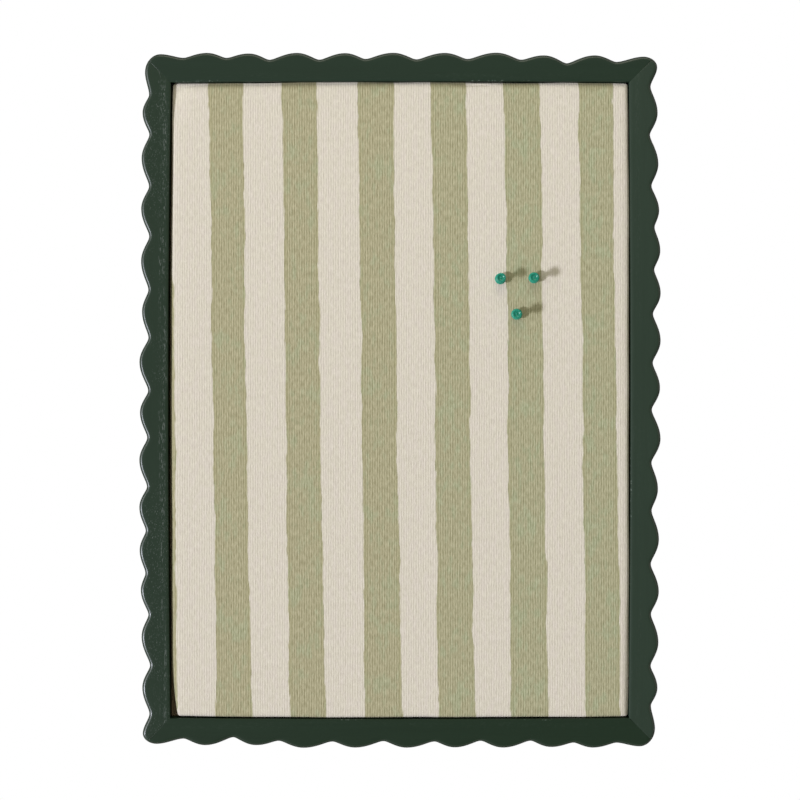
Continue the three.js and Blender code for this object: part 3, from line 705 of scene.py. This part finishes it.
NEEDLE_STEEL = (steel("needle_polished", (0.72, 0.72, 0.72), 0.08, 0.15), "needle_steel")
NAIL_STEEL = steel("nail_steel", (0.45, 0.45, 0.44), 0.35)
PIN_TEAL = (pin_plastic(), "pin_plastic")
RUBBER = (soft_rubber(), "rubber")


# The scalloped frame


def scallops(half, line, places, drops, crests, steps=30):
    """One side's edge from its first notch to its last, with a rounded lobe between each two."""
    notches = [(p * half, line - d * SCALLOP_DEPTH) for p, d in zip(places, drops)]
    full = hypot(1, NOTCH_ROUND) - NOTCH_ROUND
    points = []
    for (x0, z0), (x1, z1), crest in zip(notches, notches[1:], crests):
        rise = line - crest * SCALLOP_DEPTH - mix(z0, z1, CREST_PLACE)
        for k in range(steps):
            s = (1 - cos(pi * k / steps)) / 2
            t = 2 * CREST_PLACE * s if s < 0.5 else 1 - 2 * (1 - CREST_PLACE) * (1 - s)
            lobe = (hypot(sin(pi * s), NOTCH_ROUND) - NOTCH_ROUND) / full
            points.append((mix(x0, x1, t), mix(z0, z1, t) + rise * lobe))
    points.append(notches[-1])
    return [Vector(p) for p in points]


def corner_run(notch, reach, steps=14):
    """A curve from a side's end notch to where the corner's round begins."""
    span = reach - notch
    flat = Vector((span.x, 0)) if abs(span.x) > abs(span.y) else Vector((0, span.y))
    a, b = notch + flat * NOTCH_HANDLE, reach - flat * CORNER_HANDLE
    points = []
    for k in range(steps + 1):
        t = k / steps
        s = 1 - t
        points.append(notch * s**3 + a * (3 * s * s * t) + b * (3 * s * t * t) + reach * t**3)
    return points


def corner(rail_notch, stile_notch, shares, steps=22):
    """The outline round the top right corner, between the end notches of its two sides."""
    (rail_place, rail_drop), (stile_place, stile_drop) = shares["rail"], shares["stile"]
    top = Vector((rail_place * BOARD_WIDTH / 2, BOARD_HEIGHT / 2 - rail_drop * SCALLOP_DEPTH))
    side = Vector((BOARD_WIDTH / 2 - stile_drop * SCALLOP_DEPTH, stile_place * BOARD_HEIGHT / 2))
    angles = [pi / 2 * (1 - k / steps) for k in range(steps + 1)]
    turn = [Vector((mix(top.x, side.x, cos(a)), mix(side.y, top.y, sin(a)))) for a in angles]
    before = corner_run(rail_notch, top)[1:-1]
    return before + turn + corner_run(stile_notch, side)[::-1][1:-1]


def frame_outline():
    """The frame's whole outer edge, clockwise as seen from the front."""
    half_x, half_z = BOARD_WIDTH / 2, BOARD_HEIGHT / 2
    rail = scallops(half_x, half_z, RAIL_NOTCH_PLACES, RAIL_NOTCH_DROPS, RAIL_CREST_DROPS)
    upright = scallops(half_z, half_x, STILE_NOTCH_PLACES, STILE_NOTCH_DROPS, STILE_CREST_DROPS)
    stile = [Vector((out, -along)) for along, out in upright]
    after = corner(rail[-1], stile[0], CORNER_AFTER_RAIL)
    under = Vector((-rail[0].x, rail[0].y))
    last = Vector((stile[-1].x, -stile[-1].y))
    before = [Vector((p.x, -p.y)) for p in corner(under, last, CORNER_BEFORE_RAIL)][::-1]
    half = rail + after + stile + before
    return np.array([*half, *[-p for p in half]], float)


def split_at_mitres(loop):
    """{piece: (points, inward normals)}, each run from its first mitre to its last."""
    normals = -left_of(unit(np.roll(loop, -1, axis=0) - np.roll(loop, 1, axis=0)))
    offset = (SIGHT_WIDTH - SIGHT_HEIGHT) / 2
    side = np.abs(loop[:, 0]) - np.abs(loop[:, 1]) - offset
    count = len(loop)
    cuts = [i for i in range(count) if side[i] * side[(i + 1) % count] < 0]
    runs = {}
    for a, b in zip(cuts, [*cuts[1:], cuts[0] + count]):
        ends = []
        for i in (a, b):
            i %= count
            n = (i + 1) % count
            ends.append(mix(loop[i], loop[n], side[i] / (side[i] - side[n])))
        inner = [k % count for k in range(a + 1, b + 1) if abs(side[k % count]) > MITRE_CLEAR]
        middle = loop[inner].mean(axis=0)
        if abs(middle[0]) < abs(middle[1]):
            name = "rail_top" if middle[1] > 0 else "rail_bottom"
        else:
            name = "stile_right" if middle[0] > 0 else "stile_left"
        diagonals = [-np.sign(e) * sqrt(0.5) for e in ends]
        points = np.vstack([ends[0], loop[inner], ends[1]])
        runs[name] = (points, np.vstack([diagonals[0], normals[inner], diagonals[1]]))
    return runs


def frame_section(outer, inward, sight, rebate, sink, tuck):
    """One cross-section of the moulding as a closed ring of points, from the rebate outwards."""
    outer = outer + inward * tuck
    front = FRAME_FRONT + sink
    step = (rebate - sight) / REBATE_WIDTH
    middle = ARRIS * BEVEL_MIDDLE
    ring = [(rebate, FRAME_BACK), (mix(rebate, outer, 0.5), FRAME_BACK)]
    ring += [(outer + inward * ARRIS, FRAME_BACK), (outer + inward * middle, FRAME_BACK - middle)]
    ring += [(outer, FRAME_BACK - ARRIS), (outer, (FRAME_BACK + front + EDGE_ROUND) / 2)]
    for k in range(ROUND_STEPS + 1):
        a = pi / 2 * k / ROUND_STEPS
        inset, drop = EDGE_ROUND * (1 - cos(a)), EDGE_ROUND * (1 - sin(a))
        ring.append((outer + inward * inset, front + drop))
    start, end = outer + inward * EDGE_ROUND, sight + step * ARRIS
    ring += [(mix(start, end, k / FACE_COLUMNS), front) for k in range(1, FACE_COLUMNS)]
    ring += [(end, front), (sight + step * middle, front + middle), (sight, front + ARRIS)]
    ring += [(sight, (front + BACKING_FRONT) / 2), (sight, BACKING_FRONT), (rebate, BACKING_FRONT)]
    return [(place[0], y, place[1]) for place, y in ring]


def frame_piece(name, points, normals):
    """One frame member: its cross-sections along the outer edge, and its two mitred ends."""
    kind, side = name.split("_")
    axis = 0 if kind == "rail" else 1
    sizes = (SIGHT_WIDTH, SIGHT_HEIGHT)
    half_sight, across_sight = sizes[axis] / 2, sizes[1 - axis] / 2
    sign = copysign(1, points[:, 1 - axis].mean())
    along = points[:, axis]
    share = np.where(along < 0, along / -along.min(), along / along.max())

    def inner(reach, bow, low, high):
        """An inner edge that lies reach beyond the opening's, bowed out, its two ends stood in."""
        got = np.zeros_like(points)
        got[:, axis] = share * (half_sight + reach)
        stand_in = mix(low, high, (share + 1) / 2) * share**2 - bow * (1 - share**2)
        got[:, 1 - axis] = sign * (across_sight + reach - stand_in)
        return got

    sight = inner(0, SIGHT_BOWS[side], *SIGHT_ENDS[side])
    rebate = inner(REBATE_WIDTH, 0, 0, 0)
    rings = []
    for i, (outer, inward) in enumerate(zip(points, normals)):
        if 0 < i < len(points) - 1:
            rings.append(frame_section(outer, inward, sight[i], rebate[i], 0, 0))
            continue
        turn = np.zeros(2)
        turn[axis] = -np.sign(outer[axis])
        turn[1 - axis] = sign
        ends = []
        for distance, sink in MITRE_EASE:
            off = turn * sqrt(0.5) * distance
            moved = (outer + off, inward, sight[i] + off, rebate[i] + off)
            ends.append(frame_section(*moved, sink, sink / 2))
        rings.extend(ends if i == 0 else ends[::-1])
    count = len(rings[0])
    shell = [p for ring in rings for p in ring]
    faces = sleeve(count, len(rings))
    for start in (0, len(shell) - count):
        loop = [Vector(p) for p in shell[start : start + count]]
        faces.extend(tuple(start + i for i in t) for t in tessellate_polygon([loop]))
    mesh = mesh_of(name + "_moulding", shell, faces)
    finish_mesh(name + "_moulding", mesh, (PAINTS[name], "painted_wood"), "board", 35, name)


for piece_name, (run, run_normals) in split_at_mitres(frame_outline()).items():
    frame_piece(piece_name, run, run_normals)


# The covered panel


def wobble(t, seed, size):
    """A slow waver of size, with a different run for each seed."""
    total = 0
    for k, (turns, weight) in enumerate([(3.1, 0.45), (7.3, 0.3), (13.7, 0.18), (23.9, 0.07)]):
        total += weight * sin(turns * t * pi + seed * (k + 1.7))
    return size * total


def panel_outline(inset, waver):
    """The panel's outline moved in by inset, finely stepped, anticlockwise from its bottom left."""
    corners = []
    for key, sx, sz in (("bl", -1, -1), ("br", 1, -1), ("tr", 1, 1), ("tl", -1, 1)):
        radius = max(PANEL_RADII[key] - inset, SMALLEST_RADIUS)
        x = (PANEL_LEFT if sx < 0 else PANEL_RIGHT) - sx * inset
        z = (PANEL_BOTTOM if sz < 0 else PANEL_TOP) - sz * inset
        draw = CORNER_DRAWS[key] * DRAW_IN
        centre = np.array([x - sx * (radius + draw), z - sz * (radius + draw * DRAW_IN_HEIGHT)])
        corners.append((centre, radius, (draw * DRAW_IN_HEIGHT, draw), (z, x)))
    points = []
    for i, side in enumerate(("bottom", "right", "top", "left")):
        centre, radius, draws, lines = corners[i]
        for k in range(CORNER_STEPS):
            a = pi * (1 + (i + k / CORNER_STEPS) / 2)
            points.append((centre[0] + radius * cos(a), centre[1] + radius * sin(a)))
        after = corners[(i + 1) % 4]
        upright = i % 2
        start, end = centre[upright], after[0][upright]
        inward = 1 if side in ("bottom", "left") else -1
        steps = SIDE_STEPS[upright]
        for k in range(steps + 1):
            s = 2 * k / steps - 1
            near = draws[upright] if s < 0 else after[2][upright]
            to_corner = (1 - abs(s)) * abs(end - start) / 2
            pull = near * max(0, 1 - to_corner / DRAW_IN_REACH) ** 2
            pull += wobble(k / steps, i + 1.0, waver) * min(1, to_corner / WAVER_FADE)
            across = lines[upright] + inward * (pull - PANEL_BOWS[side] * (1 - s * s))
            along = mix(start, end, k / steps)
            points.append((across, along) if upright else (along, across))
    return np.array(points, float)


def spread(count):
    """Shares of a side's length, closer together near its ends."""
    t = np.linspace(0, 1, count + 1)
    return t - CROWDING * np.sin(2 * np.pi * t) / (2 * np.pi)


def four_sides(loop, columns, rows):
    """The loop resampled as its four sides from the bottom left, columns or rows steps in each."""
    starts = [int(np.argmax(loop @ np.array(way))) for way in ((-1, -1), (1, -1), (1, 1), (-1, 1))]
    sides = []
    for k, count in enumerate((columns, rows, columns, rows)):
        a, b = starts[k], starts[(k + 1) % 4]
        index = np.arange(a, b if b > a else b + len(loop)) % len(loop)
        run = loop[np.append(index, b)]
        along = np.append(0, np.cumsum(np.linalg.norm(np.diff(run, axis=0), axis=1)))
        at = spread(count)[:-1] * along[-1]
        sides.append(np.stack([np.interp(at, along, run[:, i]) for i in (0, 1)], axis=1))
    return np.vstack(sides)


def filled_grid(loop, columns, rows):
    """A grid of points over the inside of a loop made of four sides, rows first."""
    b0, b1, b2 = columns, columns + rows, 2 * columns + rows
    closed = np.vstack([loop, loop[:1]])
    bottom, right = closed[: b0 + 1], closed[b0 : b1 + 1]
    top, left = closed[b1 : b2 + 1][::-1], closed[b2:][::-1]
    u = spread(columns)[None, :, None]
    v = spread(rows)[:, None, None]
    sides = (1 - v) * bottom[None] + v * top[None] + (1 - u) * left[:, None] + u * right[:, None]
    corners = (1 - u) * (1 - v) * bottom[0] + u * (1 - v) * bottom[-1]
    corners = corners + u * v * top[-1] + (1 - u) * v * top[0]
    return sides - corners


def covered(columns, rows, front, edge, levels, waver, surface, inset=0.0):
    """A sheet over the panel: a front grid, then rings round its edge.

    levels are (inset, y) pairs, or (share of the way to the window, y, "window") behind.
    Returns points, faces, each point's place on the flat cloth, and the last ring."""

    def loop_at(depth):
        return four_sides(panel_outline(inset + depth, waver), columns, rows)

    ring = loop_at(edge)
    out = unit(loop_at(0) - ring)
    grid = filled_grid(ring, columns, rows).reshape(-1, 2)
    index = np.arange(len(grid)).reshape(rows + 1, columns + 1)
    points = [(x, front + surface(x, z), z) for x, z in grid]
    flat = [(x, z) for x, z in grid]
    faces = grid_faces(index)
    corners = np.array([(-1, -1), (1, -1), (1, 1), (-1, 1)]) * WINDOW
    window = []
    for k, count in enumerate((columns, rows, columns, rows)):
        window += [mix(corners[k], corners[(k + 1) % 4], t) for t in spread(count)[:-1]]
    rim = [*index[0, :-1], *index[:-1, -1], *index[-1, :0:-1], *index[:0:-1, 0]]
    previous = [int(i) for i in rim]
    before = np.array([points[i] for i in previous])
    travelled = np.zeros(len(previous))
    for depth, y, *behind in levels:
        place = mix(loop_at(TURN_UNDER), np.array(window), depth) if behind else loop_at(depth)
        weight = max(0.0, 1 - max(0.0, y - front) / SOFT_FADE)
        ys = y + np.array([surface(x, z) for x, z in place]) * weight
        here = np.stack([place[:, 0], ys, place[:, 1]], axis=1)
        travelled = travelled + np.linalg.norm(here - before, axis=1)
        added = list(range(len(points), len(points) + len(previous)))
        points.extend([tuple(p) for p in here])
        flat.extend([tuple(p) for p in ring + out * travelled[:, None]])
        faces += zip(previous, added, [*added[1:], added[0]], [*previous[1:], previous[0]])
        previous, before = added, here
    return points, faces, flat, previous


# How far the cloth lies back along the left edge, near its two ends: z, depth, reach
LEFT_SINKS = [(PANEL_TOP, 1.9, 26), (PANEL_TOP, 1.3, 10), (PANEL_BOTTOM, 0.5, 30)]
LEFT_SINK_WIDTH = 11
SOFTNESS_RANGE = (0.02, 2.2)
EDGE_SINK = 0.35
EDGE_SINK_REACH = 4.5
ROLL_REACH = 7
LOW_RIGHT_REACH = 5.5
FOLD_X = 67
FOLD_Z = 272.0


def bell(value, middle, reach, power=2):
    """1 at the middle, fading out on both sides at about the reach."""
    return exp(-(((value - middle) / reach) ** power))


def softness(x, z):
    """How far the covered front lies behind its plane."""
    u, v = 1 - (x / 197) ** 2, 1 - (z / 273) ** 2
    to_left = x - PANEL_LEFT + PANEL_BOWS["left"] * v
    to_right = PANEL_RIGHT + PANEL_BOWS["right"] * v - x
    to_low = z - PANEL_BOTTOM + PANEL_BOWS["bottom"] * u
    to_top = PANEL_TOP + PANEL_BOWS["top"] * u - z
    # a soft crown with slow hollows
    edge = min(to_left, to_right, to_low, to_top) - PANEL_ROUND
    depth = EDGE_SINK * exp(-max(edge, 0) / EDGE_SINK_REACH)
    depth += 0.07 + 0.05 * sin(x * 0.071 + 1.3) * sin(z * 0.043 + 0.4)
    depth += 0.025 * sin(x * 0.19 + z * 0.013) + 0.02 * sin(z * 0.15 - x * 0.05 + 2)
    # the cloth rolls over gently at the top, and at the low end of the right side
    roll = 2.6 + 0.9 * sin(x * 0.0125 + 3.9) + 0.2 * sin(x * 0.09)
    depth += roll * max(0, 1 - max(to_top, 0) / ROLL_REACH) ** 2
    low_right = 0.9 + 1.5 * bell(z, PANEL_BOTTOM, 90)
    depth += low_right * max(0, 1 - max(to_right, 0) / LOW_RIGHT_REACH) ** 2
    for place, sink, reach in LEFT_SINKS:
        depth += sink * bell(to_left, 0, LEFT_SINK_WIDTH) * bell(z, place, reach)
    # a fold where the cloth was pulled over the top edge, and the hollow beside it
    middle = FOLD_Z + 0.02 * (x - FOLD_X) - 0.004 * (x - FOLD_X) ** 2
    crease = 1.1 * bell(z, middle, 0.55) - 0.35 * bell(z, middle + 1.3, 0.6)
    depth += bell(x, FOLD_X, 10, 4) * crease
    depth += 0.9 * bell(x, 54, 9) * bell(z, PANEL_TOP, 2.2)
    return min(max(depth, SOFTNESS_RANGE[0]), SOFTNESS_RANGE[1])


def arc_levels(inset, depth, steps, front):
    """(inset, y) down a quarter round, from just below the front to the sheet's edge."""
    angles = [pi / 2 * k / steps for k in range(1, steps + 1)]
    return [(inset * (1 - sin(a)), front + depth * (1 - cos(a))) for a in angles]


def add_cover():
    """The striped cloth, over the panel's edges and turned under behind it."""
    behind = BACKING_FRONT - GLUE_GAP
    levels = [(PANEL_ROUND, COVER_FRONT)] + arc_levels(PANEL_ROUND, PANEL_ROUND, 9, COVER_FRONT)
    levels += [(0, mix(COVER_FRONT + PANEL_ROUND, behind - TURN_UNDER, k / 4)) for k in (1, 2, 3, 4)]
    levels += [(0.25, behind - 0.25), (TURN_UNDER, behind)]
    levels += [(share, behind, "window") for share in (0.3, 0.65, 1.0)]
    grid_inset, waver = 3.4, 0.45
    points, faces, flat, _ = covered(*COVER_GRID, COVER_FRONT, grid_inset, levels, waver, softness)
    on_cloth = np.column_stack([np.array(flat) * MM, np.zeros(len(flat))])
    mesh = mesh_of("cover_striped", points, faces, flat=on_cloth)
    mesh.polygons.foreach_set("use_smooth", [True] * len(mesh.polygons))
    mesh.materials.append(STRIPED)
    cover = linked("cover_striped", mesh)
    thick = cover.modifiers.new("cloth", "SOLIDIFY")
    thick.thickness = FABRIC * MM
    thick.offset = -1
    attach(cover, "board")
    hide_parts("fabric_cover")
    return cover


def wadding_surface(x, z):
    return softness(x, z) * 0.55 + 0.06 * sin(x * 0.9) * sin(z * 0.8)


def add_wadding():
    """A thin pad with soft edges, between the core board and the cloth."""
    inset, waver = FABRIC + 0.3, 0.5
    edge, round_depth = 1.9, 1.7
    front = WADDING_FRONT + 0.12
    back = CORE_FRONT - 0.02
    levels = arc_levels(edge, round_depth, 4, front) + [(0, CORE_FRONT - 0.12), (0.3, back)]
    points, faces, _, rim = covered(*WADDING_GRID, front, edge, levels, waver, wadding_surface, inset)
    # the flat back, as a grid that meets the rim
    loop = np.array([(points[i][0], points[i][2]) for i in rim])
    grid = filled_grid(loop, *WADDING_GRID)
    index = len(points) + np.arange(grid.shape[0] * grid.shape[1]).reshape(grid.shape[:2])
    points.extend([(x, back, z) for x, z in grid.reshape(-1, 2)])
    faces += grid_faces(index.T)
    mesh = mesh_of("wadding_pad", points, faces)
    return finish_mesh("wadding_pad", mesh, FLEECE, "board", 60, "wadding")


cover = add_cover()
pad = add_wadding()


def add_backing():
    half_x, half_z = [size / 2 + REBATE_WIDTH - BACKING_GAP for size in (SIGHT_WIDTH, SIGHT_HEIGHT)]
    corners = [(-half_x, -half_z), (half_x, -half_z), (half_x, half_z), (-half_x, half_z)]
    steps, bevel = 16, 0.25
    outline = [
        (mix(a[0], b[0], k / steps), mix(a[1], b[1], k / steps))
        for a, b in zip(corners, corners[1:] + corners[:1])
        for k in range(steps)
    ]
    mesh = mesh_of("backing_sheet", *plate(outline, [], FRAME_BACK, BACKING_FRONT, bevel))
    finish_mesh("backing_sheet", mesh, HARDBOARD, "board", 30, "backing_board")


add_backing()
repaint("core_board", SOFTBOARD)


# Hardware on the back


def cross_recess(top, size, depth):
    """A tapered cross, to be cut from a screw's head that faces +Y."""
    arm, half = size, size * 0.24
    plus = [
        (half, -arm), (half, -half), (arm, -half), (arm, half), (half, half), (half, arm),
        (-half, arm), (-half, half), (-arm, half), (-arm, -half), (-half, -half), (-half, -arm),
    ]
    taper = 0.45
    points = [(x, top + 0.5, z) for x, z in plus]
    points += [(x * taper, top - depth, z * taper) for x, z in plus]
    faces = [tuple(range(12)), tuple(range(23, 11, -1))]
    return points, faces + sleeve(12, 2)


def screw(head_radius, head_height, shank_radius, shank_length):
    """A pan-head screw along Y with its seat at y = 0 and its head behind."""
    turns, neck = 7, -0.9
    start = 2 * shank_radius - shank_length
    pitch = (neck - start) / turns
    profile = [(0, -shank_length), (shank_radius * 0.25, 0.4 - shank_length)]
    for k in range(turns):
        y = mix(start, neck, k / turns)
        profile += [(shank_radius * 0.78, y), (shank_radius, y + pitch / 2)]
    profile += [(shank_radius * 0.8, neck), (shank_radius * 0.8, 0), (head_radius * 0.94, 0)]
    for k in range(1, 9):
        a = pi / 2 * k / 9
        radius = head_radius * (0.25 + 0.75 * cos(a) ** 0.55)
        profile.append((radius, head_height * (0.16 + 0.84 * sin(a) ** 1.1)))
    profile.append((0, head_height))
    recess = cross_recess(head_height, head_radius * 0.56, head_height * 0.62)
    return cut_from(lathe(profile, 40), recess)


BUTTON_SCREW = screw(3, 1.8, 1.3, 10)
HANGER_SCREW = screw(3.2, 2, 1.5, 13)
BUTTON_PLATE = plate(slotted(0, 12, 4, 14), [hole(1.6, 24)], 1, 0, 0.22)


def turned(degrees, axis):
    return Matrix.Rotation(radians(degrees), 4, axis)


def seated(x, y, z, degrees=0):
    """Moves a part made about the origin to (x, y, z), turned about Y."""
    return Matrix.Translation((x, y, z)) @ turned(degrees, "Y")


def add_turn_buttons():
    places = [(side, z) for side in (-1, 1) for z in (BUTTON_Z, 0, -BUTTON_Z)]
    for number, (side, z) in enumerate(places, 1):
        x = side * BUTTON_X
        seat = seated(x, FRAME_BACK + 0.2, z, 180 if side > 0 else 0)
        node = f"turn_button_{number}"
        dress(node, "plate", BUTTON_PLATE, seat, ZINC, f"button_{number}", 50)
        node = f"turn_button_screw_{number}"
        body = body_of(frame["nodes"][node])[0]
        seat = seated(x, FRAME_BACK + 1.4, z, 37 * number)
        dress(node, "pan", BUTTON_SCREW, seat, ZINC, body, 35)


def rolled_eye():
    """The strap's upper end, rolled round the ring's bar, as a closed strip."""
    bore, thick, half, ease = 1.3, 1.0, 5, 0.12
    line = [(-1.8, -6.0), (-1.8, -3.0), (-1.8, -1.2)]
    for k in range(25):
        a = pi + radians(290) * k / 24
        line.append(((bore + thick / 2) * cos(a), -(bore + thick / 2) * sin(a)))
    points, count, last = [], 8, len(line) - 1
    for i, (y, z) in enumerate(line):
        ahead = Vector(line[min(i + 1, last)]) - Vector(line[max(i - 1, 0)])
        ahead.normalize()
        out = Vector((-ahead.y, ahead.x)) * thick / 2
        inner = out * (1 - 2 * ease / thick)
        ring = [(-half + ease, out), (half - ease, out), (half, inner), (half, -inner)]
        ring += [(half - ease, -out), (-half + ease, -out), (-half, -inner), (-half, inner)]
        points += [(x, y + o.x, z + o.y) for x, o in ring]
    faces = sleeve(count, len(line))
    faces += [tuple(range(count)), tuple(range(last * count, len(points)))]
    return points, faces


def strap():
    """A strap hanger's plate. Its origin is the middle of the eye's bore."""
    half, top = 5, -1.0
    foot = arc(0, -STRAP_SCREW, half, pi, 2 * pi, 25)
    outline = [(-half, top), *foot, (half, top)]
    return joined([plate(outline, [hole(1.8, 28, -STRAP_SCREW)], -1.3, -2.3, 0.18), rolled_eye()])


def wire_ring():
    """The hanger's ring, hanging down from its bar at z = 0."""
    half, corner_radius, drop, sides = 7, 1.5, 15, 20
    quarter, bend = pi / 2, half + 1 - drop
    shoulder = half - corner_radius
    line = arc(shoulder, -corner_radius, corner_radius, 0, quarter, 8)
    line += arc(-shoulder, -corner_radius, corner_radius, quarter, 2 * quarter, 8)
    line += arc(0, bend, half, pi, 2 * pi, 41)
    points = []
    for i, (x, z) in enumerate(line):
        ahead = Vector(line[(i + 1) % len(line)]) - Vector(line[i - 1])
        ahead.normalize()
        out = Vector((ahead.y, -ahead.x))
        for a in around(sides):
            points.append((x + out.x * cos(a), sin(a), z + out.y * cos(a)))
    return points, sleeve(sides, len(line), closed=True)


def add_hangers():
    """The two strap hangers with their rings and screws, and the bumpers below them."""
    plate_part, ring_part = strap(), wire_ring()
    foot = lathe(rounded(BUMPER_PROFILE, 0.5, 4), 48)
    for word, side in (("left", -1), ("right", 1)):
        x = side * STRIP_X
        eye = seated(x, EYE_Y, HANGER_Z)
        dress(f"hanger_plate_{word}", "strap", plate_part, eye, ZINC, "board", 40)
        dress(f"hanger_ring_{word}", "wire", ring_part, eye, RING_STEEL, f"ring_{word}", 60)
        seat = seated(x, FRAME_BACK + 1, HANGER_Z - STRAP_SCREW, 20 + 50 * side)
        dress(f"hanger_screw_{word}", "pan", HANGER_SCREW, seat, ZINC, "board", 35)
        seat = seated(x, FRAME_BACK, BUMPER_Z)
        dress(f"bumper_{word}", "foot", foot, seat, RUBBER, "board", 50)


add_turn_buttons()
add_hangers()
for nail_number in range(1, 9):
    repaint(f"v_nail_{nail_number}", NAIL_STEEL)


# Push pins


def pin_head():
    """A push pin's head from its flange at y = 0 to its dished top, bored for the needle."""
    height, flange, top, bore = 12.7, 4.8, 4.15, (0.7, 6.3)
    lower, upper = 1.5, height - 1.8
    profile = [(0, bore[1]), bore, (bore[0], 0), (flange - 0.45, 0)]
    profile += [(flange - 0.1, 0.25), (flange, 0.7), (flange - 0.12, 1.15), (flange - 0.55, 1.45)]
    for k in range(1, 24):
        t = k / 24
        side = (flange if t < 0.5 else top) - 0.55
        profile.append((PIN_WAIST + (side - PIN_WAIST) * abs(2 * t - 1) ** 4, mix(lower, upper, t)))
    profile += [(top - 0.35, upper + 0.1), (top - 0.06, upper + 0.4), (top, upper + 0.9)]
    profile += [(top - 0.06, height - 0.4), (top - 0.3, height - 0.1), (top - 0.6, height)]
    # the dished top
    profile += [(2.75, height - 0.02), (2.45, height - 0.14), (2.2, height - 0.42)]
    profile += [(1.4, height - 0.5), (0.55, height - 0.48), (0.3, height - 0.3), (0, height - 0.26)]
    return lathe(profile, 56)


def add_pins():
    head, needle = pin_head(), lathe(rounded(NEEDLE_PROFILE, 0.25, 3), 24)
    # 0 as far out as the waist, rising to 1 at twice the waist
    thin = [min(1, max(0, hypot(x, z) / PIN_WAIST - 1)) for x, _, z in head[0]]
    for number, (x, z, right, up) in enumerate(PINS, 1):
        lean = seated(x, COVER_FRONT, z) @ turned(-up, "X") @ turned(right, "Z")
        seat = lean @ seated(0, -PIN_STANDOFF, 0) @ turned(180, "X")
        body = f"pin_{number}"
        dress(body + "_head", "plastic", head, seat, PIN_TEAL, body, 50, thin=thin)
        dress(body + "_needle", "steel", needle, seat, NEEDLE_STEEL, body, 50)


add_pins()


# Floor, light and camera


def add_floor():
    radius, level, sides = 1.3, -1.15, 96
    ring = [(radius * cos(a), radius * sin(a), level) for a in around(sides)]
    mesh = bpy.data.meshes.new("floor")
    mesh.from_pydata(ring, [], [tuple(range(sides))])
    s = Shade("pale_floor", Roughness=0.85, Specular_IOR_Level=0.2)
    s.put("Base Color", s.mix(s.noise(s.place(), 40, 3, 0.5), (0.74, 0.74, 0.73), (0.80, 0.80, 0.79)))
    mesh.materials.append(s.material)
    linked("floor", mesh)


def add_light(name, direction, distance, size, watts, colour, height=None):
    """A soft light, square or of its own height, that shines on the board's middle."""
    data = bpy.data.lights.new(name, "AREA")
    data.energy = watts
    data.color = colour
    data.shape = "RECTANGLE"
    data.size = size
    data.size_y = height or size
    lamp = linked(name, data)
    way = Vector(direction).normalized()
    lamp.location = way * distance
    lamp.rotation_mode = "QUATERNION"
    lamp.rotation_quaternion = (-way).to_track_quat("-Z", "Y")


# Studio walls by direction, from in front of the board at 0 to behind it at 1: dim in front and
# at the sides, white behind. The ramp's own two stops come first
STUDIO = [
    (0.0, (0.316, 0.307, 0.258)), (0.975, (1.0, 1.0, 1.0)), (0.25, (0.268, 0.26, 0.218)),
    (0.5, (0.192, 0.186, 0.156)), (0.65, (0.30, 0.30, 0.29)), (0.85, (0.45, 0.45, 0.45)),
    (0.93, (0.7, 0.7, 0.7)),
]


def add_world():
    world = bpy.data.worlds.new("studio")
    s = Nodes(world)
    depth = s.axes(s.node("TexCoord"))[1]
    ramp = s.node("ValToRGB", s.math("MULTIPLY_ADD", depth, 0.5, 0.5)).socket
    stops = ramp.node.color_ramp.elements
    for k, (position, colour) in enumerate(STUDIO):
        stop = stops[k] if k < 2 else stops.new(position)
        stop.position = position
        stop.color = (*colour, 1)
    s.tree.links.new(ramp, s.tree.nodes["Background"].inputs[0])
    bpy.context.scene.world = world


CAMERA_DISTANCE = 1.7
VIEW_WIDTH = 0.6893
CAMERA_HEIGHT = 0.0002
SENSOR = 36


def add_camera():
    data = bpy.data.cameras.new("camera")
    data.sensor_width = SENSOR
    data.lens = SENSOR * CAMERA_DISTANCE / VIEW_WIDTH
    camera = linked("camera", data)
    camera.location = (0.0, FRAME_FRONT * MM - CAMERA_DISTANCE, CAMERA_HEIGHT)
    camera.rotation_euler = (pi / 2, 0, 0)
    bpy.context.scene.camera = camera


COOL = (0.975, 1.0, 1.13)
WARM = (1.03, 1.0, 0.84)
WHITE = (1.0, 1.0, 1.0)

add_floor()
add_light("key", (-0.73, -0.645, -0.225), 18.0, 2.5, 2540, COOL)
add_light("window", (-0.76, -0.65, 0.0), 6.0, 0.30, 55, WHITE, 5.6)
add_light("above", (0.0, -0.70, 0.71), 2.0, 1.4, 9.8, WARM)
add_light("behind", (0.35, 0.85, 0.4), 5.0, 2.5, 60, WHITE)
add_world()
add_camera()
bpy.context.scene.view_settings.view_transform = "Standard"
